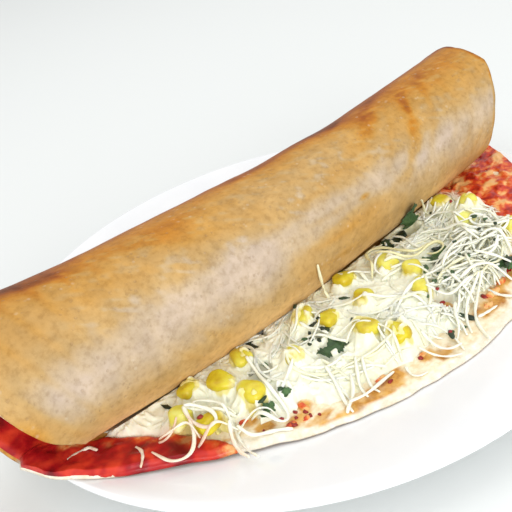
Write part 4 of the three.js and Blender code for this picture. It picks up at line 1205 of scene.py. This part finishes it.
# Shreds that show clearly: each is a route over the pile, in millimetres from the middle
CLEAR_SHREDS = [
    [(25.2, -63.6), (31.0, -61.8), (36.7, -61.0), (42.5, -61.7), (47.5, -64.0)],
    [(31.6, -56.9), (37.4, -56.1), (42.5, -56.9), (46.9, -59.6), (50.5, -63.8)],
    [(55.8, -47.5), (50.5, -53.7), (46.7, -60.7), (45.5, -66.3)],
    [(48.2, -65.4), (52.3, -65.9), (54.0, -69.5), (53.8, -75.5)],
    [(37.9, -27.4), (37.9, -33.0), (35.7, -39.0), (34.9, -44.3)],
    [(33.4, -30.5), (33.3, -35.6), (31.0, -41.1), (30.7, -45.5)],
    [(38.5, -69.1), (40.0, -73.6), (42.7, -77.2), (44.5, -80.9)],
    [(22.6, -73.8), (28.7, -74.5), (34.7, -76.2), (38.2, -80.1), (40.1, -83.7)],
    [(29.9, -78.1), (23.7, -79.7), (17.6, -82.6), (12.6, -86.8), (8.9, -91.8), (5.9, -96.8)],
    [(30.6, -79.4), (29.7, -84.3), (30.6, -88.5), (32.0, -90.9)],
    [(27.8, -78.2), (21.8, -78.8), (16.2, -80.1), (10.4, -84.1), (6.5, -88.9)],
    [(14.4, -86.5), (18.9, -87.2), (23.9, -87.7)],
    [(22.7, -67.3), (21.3, -72.9), (19.9, -77.9), (19.6, -81.2)],
    [(11.8, -66.0), (14.0, -70.0), (16.2, -73.9), (19.7, -76.3), (24.9, -76.7)],
    [(6.3, -76.1), (7.7, -79.6), (7.4, -83.7), (4.7, -88.1)],
    [(14.7, -76.3), (9.3, -80.1), (5.2, -84.4), (0.2, -87.1)],
    [(-4.1, -74.5), (0.0, -76.8), (1.2, -81.2), (-0.1, -86.5), (-2.5, -91.9)],
    [(-6.9, -77.6), (-7.3, -83.2), (-5.7, -87.9), (-1.6, -90.4)],
    [(-11.6, -79.5), (-10.7, -84.9), (-8.3, -89.8), (-4.8, -92.7)],
    [(-20.5, -80.4), (-22.7, -84.7), (-21.4, -87.6), (-18.5, -88.3)],
    [(-39.9, -61.1), (-43.0, -68.4), (-46.2, -75.1), (-47.9, -80.3)],
    [(-30.0, -66.0), (-34.4, -70.8), (-38.3, -75.2), (-39.5, -79.5)],
    [(-28.6, -68.0), (-32.8, -73.2), (-35.4, -77.6), (-35.4, -81.2)],
    [(-49.4, -79.0), (-44.8, -77.1), (-40.4, -73.9), (-36.6, -69.5)],
    [(-46.5, -78.1), (-41.6, -79.1), (-35.9, -79.5), (-29.8, -78.7), (-24.8, -78.6)],
    [(-34.3, -44.3), (-30.9, -46.2), (-29.0, -50.1), (-28.0, -54.8), (-26.6, -59.0)],
    [(-30.2, -39.5), (-29.8, -43.5), (-27.9, -46.4), (-28.0, -51.7)],
    [(-36.4, -48.5), (-32.0, -47.8), (-26.8, -45.9), (-23.0, -42.7)],
    [(-56.2, -38.2), (-58.3, -45.6), (-60.2, -52.0), (-60.8, -57.8), (-61.9, -63.0), (-64.6, -66.4),
     (-68.0, -65.2), (-69.9, -59.7), (-71.5, -55.3)],
    [(-87.1, -45.9), (-83.9, -42.8), (-80.5, -43.0), (-77.6, -46.0), (-77.2, -50.5), (-78.8, -54.6)],
    [(-88.0, -43.0), (-89.4, -48.8), (-87.9, -55.0), (-84.0, -55.5), (-82.6, -50.5), (-85.4, -44.7),
     (-87.5, -42.9)],
    [(-79.2, -57.1), (-74.7, -55.9), (-70.4, -56.7), (-67.5, -59.6), (-65.7, -63.6)],
    [(-79.0, -55.9), (-81.0, -60.8), (-82.0, -66.0), (-81.7, -70.9)],
    [(-78.8, -57.6), (-81.9, -56.7), (-85.8, -56.3), (-89.6, -55.3), (-92.0, -52.4)],
    [(-78.4, -56.7), (-77.4, -61.6), (-73.2, -63.9), (-69.0, -66.2), (-65.8, -69.6)],
    [(-80.5, -57.1), (-83.4, -60.7), (-84.8, -65.4), (-84.4, -69.7)],
    [(-105.7, -35.4), (-105.4, -38.1), (-106.8, -41.4), (-109.8, -44.8)],
    [(-103.5, -41.9), (-103.0, -45.3), (-101.9, -50.1), (-98.8, -53.1), (-95.1, -54.1), (-91.5, -52.1),
     (-90.0, -48.9)],
    [(-92.2, -44.7), (-95.3, -46.1), (-98.0, -44.2), (-99.4, -40.2)],
    [(-124.1, -19.9), (-120.4, -20.0), (-116.8, -21.4), (-115.3, -25.7)],
    [(-99.2, -41.2), (-97.4, -45.6), (-94.0, -47.7), (-91.4, -49.3), (-90.6, -53.2)],
    [(51.7, -34.2), (57.4, -35.9), (58.8, -41.2), (56.1, -48.2), (55.6, -52.6)],
    [(55.7, -54.5), (55.3, -60.6), (57.4, -65.0), (62.1, -68.4)],
    [(43.5, -38.3), (47.0, -42.5), (47.5, -48.8), (49.1, -54.2), (48.5, -59.5)],
    [(64.5, -63.2), (68.1, -56.9), (67.7, -52.3), (63.0, -51.0)],
]
YELLOW_SHREDS = [
    [(20.8, -26.6), (25.7, -28.1), (28.5, -32.4), (29.3, -39.3), (30.4, -44.8), (34.9, -45.9), (39.3, -46.7)],
    [(19.7, -34.3), (21.7, -40.1), (24.3, -45.4), (28.4, -47.3), (33.3, -47.6), (37.3, -47.7),
     (41.1, -48.9), (39.8, -52.9), (36.1, -55.1), (33.2, -53.8), (32.9, -50.0)],
    [(20.8, -26.6), (17.5, -31.7), (13.8, -37.1), (9.3, -40.5)],
]
# Shreds that lean on the roll, in millimetres with their height
LEANING_SHREDS = [
    [(-11.8, -34.6, 34.2), (-11.2, -33.8, 28.4), (-9.6, -32.2, 20.5), (-9.4, -33.8, 16.8),
     (-9.2, -38.0, 15.9), (-7.1, -41.7, 15.6)],
    [(53.9, -32.4, 27.8), (56.4, -30.8, 23.6), (58.2, -29.8, 19.0), (59.0, -33.0, 16.8), (60.0, -37.0, 16.2)],
]
SHRED_COUNT = 250
SHRED_TRIES = 1500
CLEAR_RADIUS = 0.00062
CLEAR_STIFFNESS = 40
CLEAR_SINK = 0.1
LOOSE_RADIUS = (0.00042, 0.00066)
LOOSE_STIFFNESS = 26
LOOSE_LENGTH = (0.010, 0.030)
LEAST_STEPS = 10
# A shred counts as crossing a topping where enough of it runs this high above the soft face
TOPPING_HEIGHT = 0.0068
TOPPING_SHARE = 0.12
CROSSING_CHANCE = 0.35
# Places that no loose shred crosses, as x, y, half sizes along x and y
CLEAR_PLACES = [(-0.0315, -0.0565, 0.0052, 0.0040), (-0.0205, -0.0445, 0.0034, 0.0030)]
CHEESE_WHITE = (0.82, 0.83, 0.71, 1)
# A warm yellow: the corn under thin cheese, and painted shade on the melt's front slope
CORN_AND_SHADE_TINT = (0.70, 0.58, 0.03, 1)
GAP_SHADE = (0.10, 0.10, 0.045, 1)
SAUCE_STAIN = (0.62, 0.16, 0.045, 1)

soft_face = filled_top(pile_x, pile_y)
start_weight = sample_weight(pile_x, pile_y) * (1 - standing)
start_share = np.cumsum(start_weight) / start_weight.sum()
highest = pile_limit(pile_x, pile_y)
allowed = (depth_inside(pile_x, pile_y) > 0.001) & (pile_y < -0.018) & (start_weight > 0.05)
allowed = allowed & (patches(pile_x, pile_y, CLEAR_PLACES) < 0.5)
draw = np.random.default_rng(41)
bundles = [Bundle(), Bundle()]
laid = 0
for _ in range(SHRED_TRIES):
    best_route, best_score = None, 1
    for _ in range(3):
        cell = np.searchsorted(start_share, draw.uniform())
        start = (pile_x.flat[cell], pile_y.flat[cell])
        hanging = start[0] < -0.020 and start[1] < -0.056
        heading = draw.normal(-1.35 if hanging else 0.10, 0.5) + math.pi * (draw.uniform() < 0.5)
        if -0.020 < start[0] < 0.014:
            heading = draw.uniform(0, 2 * math.pi)
        route = curl(start, heading, draw.uniform(*LOOSE_LENGTH), draw, 1.0 if hanging else 1.8)
        keep = allowed[pile_at(route)]
        stop = np.argmin(keep) if not keep.all() else len(route)
        if stop < LEAST_STEPS:
            continue
        route = route[:stop]
        spots_under = pile_at(route)
        height = (pile[spots_under] - soft_face[spots_under]).mean()
        over_toppings = np.mean(toppings[spots_under] - soft_face[spots_under] > TOPPING_HEIGHT)
        crossing = over_toppings > TOPPING_SHARE and draw.uniform() > CROSSING_CHANCE
        if crossing or height > highest[spots_under].mean() or height < 0.001:
            continue
        if height < best_score:
            best_route, best_score = route, height
    if best_route is None:
        continue
    radius = draw.uniform(*LOOSE_RADIUS)
    apart = np.mean(distinctness(best_route[:, 0], best_route[:, 1]))
    stained = staining(best_route[:, 0], best_route[:, 1]).mean()
    placed = lay(best_route, radius, LOOSE_STIFFNESS, 1.30 - 1.0 * apart + 0.5 * stained)
    rings, ends = tube(placed, radius, draw)
    bundles[laid % 2].add(rings, ends, draw.uniform() ** 3 * 0.3)
    laid += 1
    if laid == SHRED_COUNT:
        break
for tint, routes in ((0.05, CLEAR_SHREDS), (0.42, YELLOW_SHREDS)):
    for corners in routes:
        flat = np.array(corners) / 1000
        length = np.linalg.norm(np.diff(flat, axis=0), axis=1).sum()
        route = smooth_route(flat, max(8, int(length / SHRED_STEP)))
        placed = lay(route, CLEAR_RADIUS, CLEAR_STIFFNESS, CLEAR_SINK)
        rings, ends = tube(placed, CLEAR_RADIUS, draw)
        bundles[0].add(rings, ends, tint)
for corners in LEANING_SHREDS:
    route = smooth_route(np.array(corners) / 1000, 50)
    rings, ends = tube(route, CLEAR_RADIUS * 0.85, draw)
    bundles[1].add(rings, ends, 0.30)

cheese_skin, cheese_shader = finish_material("white_cheese", 0.45, 0.3)
cheese_shader.inputs["Subsurface Weight"].default_value = 0.5
cheese_shader.inputs["Subsurface Radius"].default_value = (1.0, 0.9, 0.7)
cheese_shader.inputs["Subsurface Scale"].default_value = 0.0018
cheese_colour = CHEESE_WHITE
for values, colour in (("tint", CORN_AND_SHADE_TINT), ("shade", GAP_SHADE), ("stain", SAUCE_STAIN)):
    cheese_colour = blend_colours(cheese_skin, read_values(cheese_skin, values), cheese_colour, colour)
join(cheese_skin, cheese_colour, cheese_shader.inputs["Base Color"])
relief(cheese_skin, cheese_shader, speckle(cheese_skin, 900), 0.0004, 0.4)

melt_x, melt_y, melt_z = np.array([corner.co for corner in melt.data.vertices]).T
warmth = 0.03 + 0.05 * soft_noise(melt_x, melt_y, 0.009, 52)
# Towards the front left the melt is tinted warmer and darker: painted shade on the slope that faces the
# window lamp, with some golden dosa showing through
front_slope_shade = smoothstep(-melt_y, 0.054, 0.074) * smoothstep(-melt_x, 0.006, 0.020)
warmth = warmth + front_slope_shade * (0.09 + 0.08 * soft_noise(melt_x, melt_y, 0.0030, 55))
beside_roll = smoothstep(melt_y, -0.038, -0.026) * smoothstep(melt_x, -0.034, -0.016)
warmth = warmth + beside_roll * (0.17 + 0.10 * soft_noise(melt_x, melt_y, 0.0034, 56))
# The corn shines through where the cheese over it is thin
for middle, axes, halves in kernels:
    away = np.sqrt(footprint(middle, axes, halves, melt_x, melt_y))
    crown = middle[2] + halves[2] * (np.sqrt(np.clip(1 - away**3, 0, 1)) - 6 * np.maximum(away - 0.95, 0))
    thin = 1 - smoothstep(melt_z - crown, 0.0, THIN_COVER)
    warmth = np.maximum(warmth, 0.60 * thin * (away < 1.15))
    warmth = warmth + 0.10 * np.exp(-(np.hypot(melt_x - middle[0], melt_y - middle[1]) / 0.0060) ** 2)
put_values(melt, "tint", np.clip(warmth, 0, 1))
put_values(melt, "stain", staining(melt_x, melt_y))
# Painted shade in the hollows between the sunk shreds where they lie loose, darkened also towards the filling
# that shows between them
painted_hollow_shade = 1 - smoothstep(ridge_height(melt_x, melt_y), 0.02, 0.30)
painted_hollow_shade = painted_hollow_shade * smoothstep(soft_noise(melt_x, melt_y, 0.0024, 54), 0.05, 0.45)
painted_hollow_shade = painted_hollow_shade * smoothstep(distinctness(melt_x, melt_y), 0.35, 0.9) * 0.38
# The palest leaf lies just under the cheese and dulls it
away = np.sqrt(footprint(*leaf_places[LEAF_NODES.index(PALEST_LEAF)], melt_x, melt_y))
dulled = 0.55 * (1 - smoothstep(away + 0.25 * soft_noise(melt_x, melt_y, 0.0020, 57), 0.8, 1.4))
put_values(melt, "shade", np.maximum(painted_hollow_shade, dulled))
cheese_pieces = [melt]
for order, bundle in enumerate(bundles):
    points = np.concatenate(bundle.points)
    piece = build(f"cheese_shreds_{order + 1}", points, bundle.faces)
    put_values(piece, "tint", np.concatenate(bundle.tint))
    put_values(piece, "stain", staining(points[:, 0], points[:, 1]))
    put_values(piece, "shade", np.zeros(len(points)))
    cheese_pieces.append(piece)
for piece in cheese_pieces:
    piece.data.materials.append(cheese_skin)
    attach(piece, "root")
    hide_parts("cheese")


# Dark bits between the shreds: torn leaf, spice seeds and chilli, pressed into the cheese
# where they fell. Each is a small uneven flake that lies on the pile.
FLAKE_SIDES = 9
FLAKE_GROWTH = 1.3
FLAKE_HALF_HEIGHT = 0.5
FLAKE_LIFT = 0.0001
# Middle, half length and half width in millimetres, and for leaf 0 green to 1 nearly black
DARK_FLAKES = [
    (38.0, -50.7, 1.6, 1.0, 1.0), (45.5, -33.4, 1.4, 0.8, 0.9), (41.5, -30.0, 3.0, 1.6, 1.0),
    (60.4, -33.0, 1.7, 0.7, 0.9), (59.6, -54.3, 1.1, 1.0, 0.7), (60.9, -58.8, 0.9, 0.7, 0.5),
    (44.2, -69.9, 1.3, 1.6, 0.7), (46.4, -78.8, 2.4, 1.2, 1.0), (42.8, -80.2, 1.5, 0.7, 0.9),
    (31.6, -55.4, 2.2, 1.4, 0.6), (26.9, -48.9, 1.3, 0.8, 0.9), (34.7, -68.9, 0.9, 0.6, 0.4),
    (20.6, -68.8, 0.9, 0.9, 0.6), (16.9, -65.9, 0.8, 0.8, 0.6), (22.7, -70.0, 0.7, 0.6, 0.4),
    (13.5, -83.6, 1.8, 1.2, 1.0), (12.7, -79.9, 1.1, 0.9, 0.8), (10.2, -68.1, 0.8, 0.6, 0.5),
    (0.2, -84.8, 1.8, 0.8, 0.9), (3.1, -81.9, 1.2, 0.7, 0.5), (7.9, -84.5, 0.8, 0.7, 0.5),
    (-26.8, -42.5, 1.7, 1.1, 1.0), (-25.4, -46.9, 2.0, 1.2, 0.9), (-29.0, -45.7, 1.2, 0.8, 0.7),
    (-32.9, -47.4, 1.0, 0.6, 0.7), (-34.4, -45.2, 1.0, 0.6, 0.5), (-15.8, -53.0, 1.8, 0.8, 0.8),
    (-66.0, -56.7, 1.6, 0.8, 0.8), (-58.4, -57.6, 0.9, 0.8, 0.7), (-88.5, -31.0, 1.9, 0.6, 1.0),
    (-30.5, -44.0, 0.8, 0.6, 1.0), (-33.0, -46.5, 0.7, 0.5, 1.0), (-27.5, -48.5, 0.9, 0.6, 1.0),
    (-35.5, -49.0, 0.7, 0.5, 0.9), (-31.5, -50.0, 1.0, 0.6, 1.0), (-25.0, -44.0, 0.7, 0.5, 1.0),
    (52.0, -62.0, 0.7, 0.5, 1.0), (47.0, -57.0, 0.7, 0.6, 0.9), (38.0, -60.5, 0.8, 0.5, 0.8),
    (33.5, -65.5, 0.6, 0.5, 0.8), (57.5, -66.0, 0.8, 0.5, 0.9), (49.5, -71.0, 0.7, 0.6, 0.9),
    (-6.8, -39.6, 1.8, 0.7, 0.8), (-11.5, -62.2, 0.8, 0.7, 0.5), (23.5, -56.0, 2.2, 0.9, 0.3),
    (27.2, -60.2, 2.4, 1.0, 0.3), (-25.1, -31.9, 1.1, 0.8, 0.9), (6.0, -26.7, 1.2, 0.6, 0.6),
]
CHILLI_FLAKES = [
    (-57.1, -66.7, 0.9, 0.6), (-57.5, -69.5, 0.8, 0.5), (-64.3, -68.0, 1.2, 0.7),
    (-59.6, -64.2, 0.8, 0.5), (-61.2, -66.4, 0.6, 0.5), (-66.4, -65.6, 0.7, 0.5),
    (-55.2, -71.6, 0.6, 0.4), (-72.4, -62.4, 0.7, 0.4),
    (-29.0, -80.6, 1.1, 0.5), (65.8, -38.2, 0.9, 0.6), (12.4, -72.0, 1.1, 0.8),
    (13.6, -69.6, 0.7, 0.5), (-13.8, -81.6, 1.1, 0.7), (-86.1, -49.4, 1.1, 0.7),
    (26.6, -80.2, 1.2, 0.8), (29.4, -82.0, 0.8, 0.6), (1.2, -83.6, 0.6, 0.5),
]


def flake(place, halves, turn, draw):
    """Closed lumpy disc with an uneven outline."""
    sides = np.linspace(0, 2 * math.pi, FLAKE_SIDES, endpoint=False)
    ragged = 1 + 0.28 * draw.uniform(-1, 1, FLAKE_SIDES)
    rings = []
    for girth, height in ((0.55, 1), (1.0, 0.45), (0.9, -0.4), (0.4, -1)):
        flat_x = np.cos(sides) * ragged * girth * halves[0]
        flat_y = np.sin(sides) * ragged * girth * halves[1]
        lift = height * halves[2] + 0.0002 * draw.uniform(-1, 1, FLAKE_SIDES)
        rings.append(np.stack([
            flat_x * math.cos(turn) - flat_y * math.sin(turn),
            flat_x * math.sin(turn) + flat_y * math.cos(turn), lift], -1))
    ends = np.array([[0, 0, halves[2] * 1.1], [0, 0, -halves[2] * 1.1]])
    return np.array(rings) + place, ends + place


chilli_skin, chilli_shader = finish_material("chilli", 0.35, 0.35)
chilli_shader.inputs["Base Color"].default_value = (0.25, 0.016, 0.012, 1)
draw = np.random.default_rng(77)
for kind, table, skin, part in (("leaf_bits", DARK_FLAKES, herb_skin, "herb"),
                                ("chilli_bits", CHILLI_FLAKES, chilli_skin, "sauce")):
    scatter = Bundle()
    for flat_x, flat_y, half_x, half_y, *dark in table:
        row, column = pile_at(np.array([[flat_x, flat_y]]) / 1000)
        height = float(pile[row[0], column[0]])
        place = np.array([flat_x / 1000, flat_y / 1000, height + FLAKE_LIFT])
        halves = np.array([FLAKE_GROWTH * half_x, FLAKE_GROWTH * half_y, FLAKE_HALF_HEIGHT]) / 1000
        rings, ends = flake(place, halves, draw.uniform(0, math.pi), draw)
        scatter.add(rings, ends, sum(dark))
    bits = build(kind, np.concatenate(scatter.points), scatter.faces)
    put_values(bits, "dark", np.concatenate(scatter.tint))
    bits.data.materials.append(skin)
    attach(bits, "root")
    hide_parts("cheese")


# The floor, light and camera: a plain white table in soft daylight, seen from the front left
# and from above, with the camera rolled so that the dosa runs up to the right.
CAMERA_AZIMUTH = -33.30
CAMERA_ELEVATION = 29.88
CAMERA_ROLL = -16.09
CAMERA_DISTANCE = 0.3409
CAMERA_TARGET = (-0.00175, 0.0203, 0.016)
CAMERA_LENS = 52.6
SENSOR_WIDTH = 36
FLOOR_REACH = 6.0
FLOOR_HEIGHT = -0.0004
LIGHT_AIM = (0, -0.02, 0.03)

corners = [(-1, -1), (1, -1), (1, 1), (-1, 1)]
corners = [(x * FLOOR_REACH, y * FLOOR_REACH, FLOOR_HEIGHT) for x, y in corners]
floor = build("floor", corners, [(0, 1, 2, 3)])
table_top, table_shader = finish_material("pale_floor", 0.9, 0.1)
table_shader.inputs["Base Color"].default_value = (0.74, 0.76, 0.75, 1)
floor.data.materials.append(table_top)

azimuth, elevation, roll = (math.radians(v) for v in (CAMERA_AZIMUTH, CAMERA_ELEVATION, CAMERA_ROLL))
level = math.cos(elevation)
back = Vector((math.sin(azimuth) * level, -math.cos(azimuth) * level, math.sin(elevation)))
right = Vector((math.cos(azimuth), math.sin(azimuth), 0))
up = back.cross(right)
turned_right = math.cos(roll) * right + math.sin(roll) * up
turned_up = -math.sin(roll) * right + math.cos(roll) * up
lens = bpy.data.cameras.new("camera")
lens.lens = CAMERA_LENS
lens.sensor_width = SENSOR_WIDTH
lens.clip_start = 0.01
camera = bpy.data.objects.new("camera", lens)
bpy.context.scene.collection.objects.link(camera)
placing = Matrix((turned_right, turned_up, back)).transposed().to_4x4()
placing.translation = Vector(CAMERA_TARGET) + back * CAMERA_DISTANCE
camera.matrix_world = placing
bpy.context.scene.camera = camera


def soft_light(name, place, size, power):
    lamp = bpy.data.lights.new(name, "AREA")
    lamp.size = size
    lamp.energy = power
    lit = bpy.data.objects.new(name, lamp)
    bpy.context.scene.collection.objects.link(lit)
    lit.location = place
    lit.rotation_mode = "QUATERNION"
    lit.rotation_quaternion = (Vector(LIGHT_AIM) - Vector(place)).to_track_quat("-Z", "Y")


soft_light("window", (-0.45, -0.85, 0.42), 0.5, 4.6)
soft_light("low_window", (-0.40, -1.10, 0.16), 1.0, 5.4)
soft_light("ceiling", (0.2, 0.3, 1.2), 1.0, 3.5)
world = bpy.data.worlds.new("studio")
world.use_nodes = True
world.node_tree.nodes["Background"].inputs["Color"].default_value = (1, 1, 1, 1)
world.node_tree.nodes["Background"].inputs["Strength"].default_value = 0.95
bpy.context.scene.world = world
bpy.context.scene.view_settings.view_transform = "Standard"
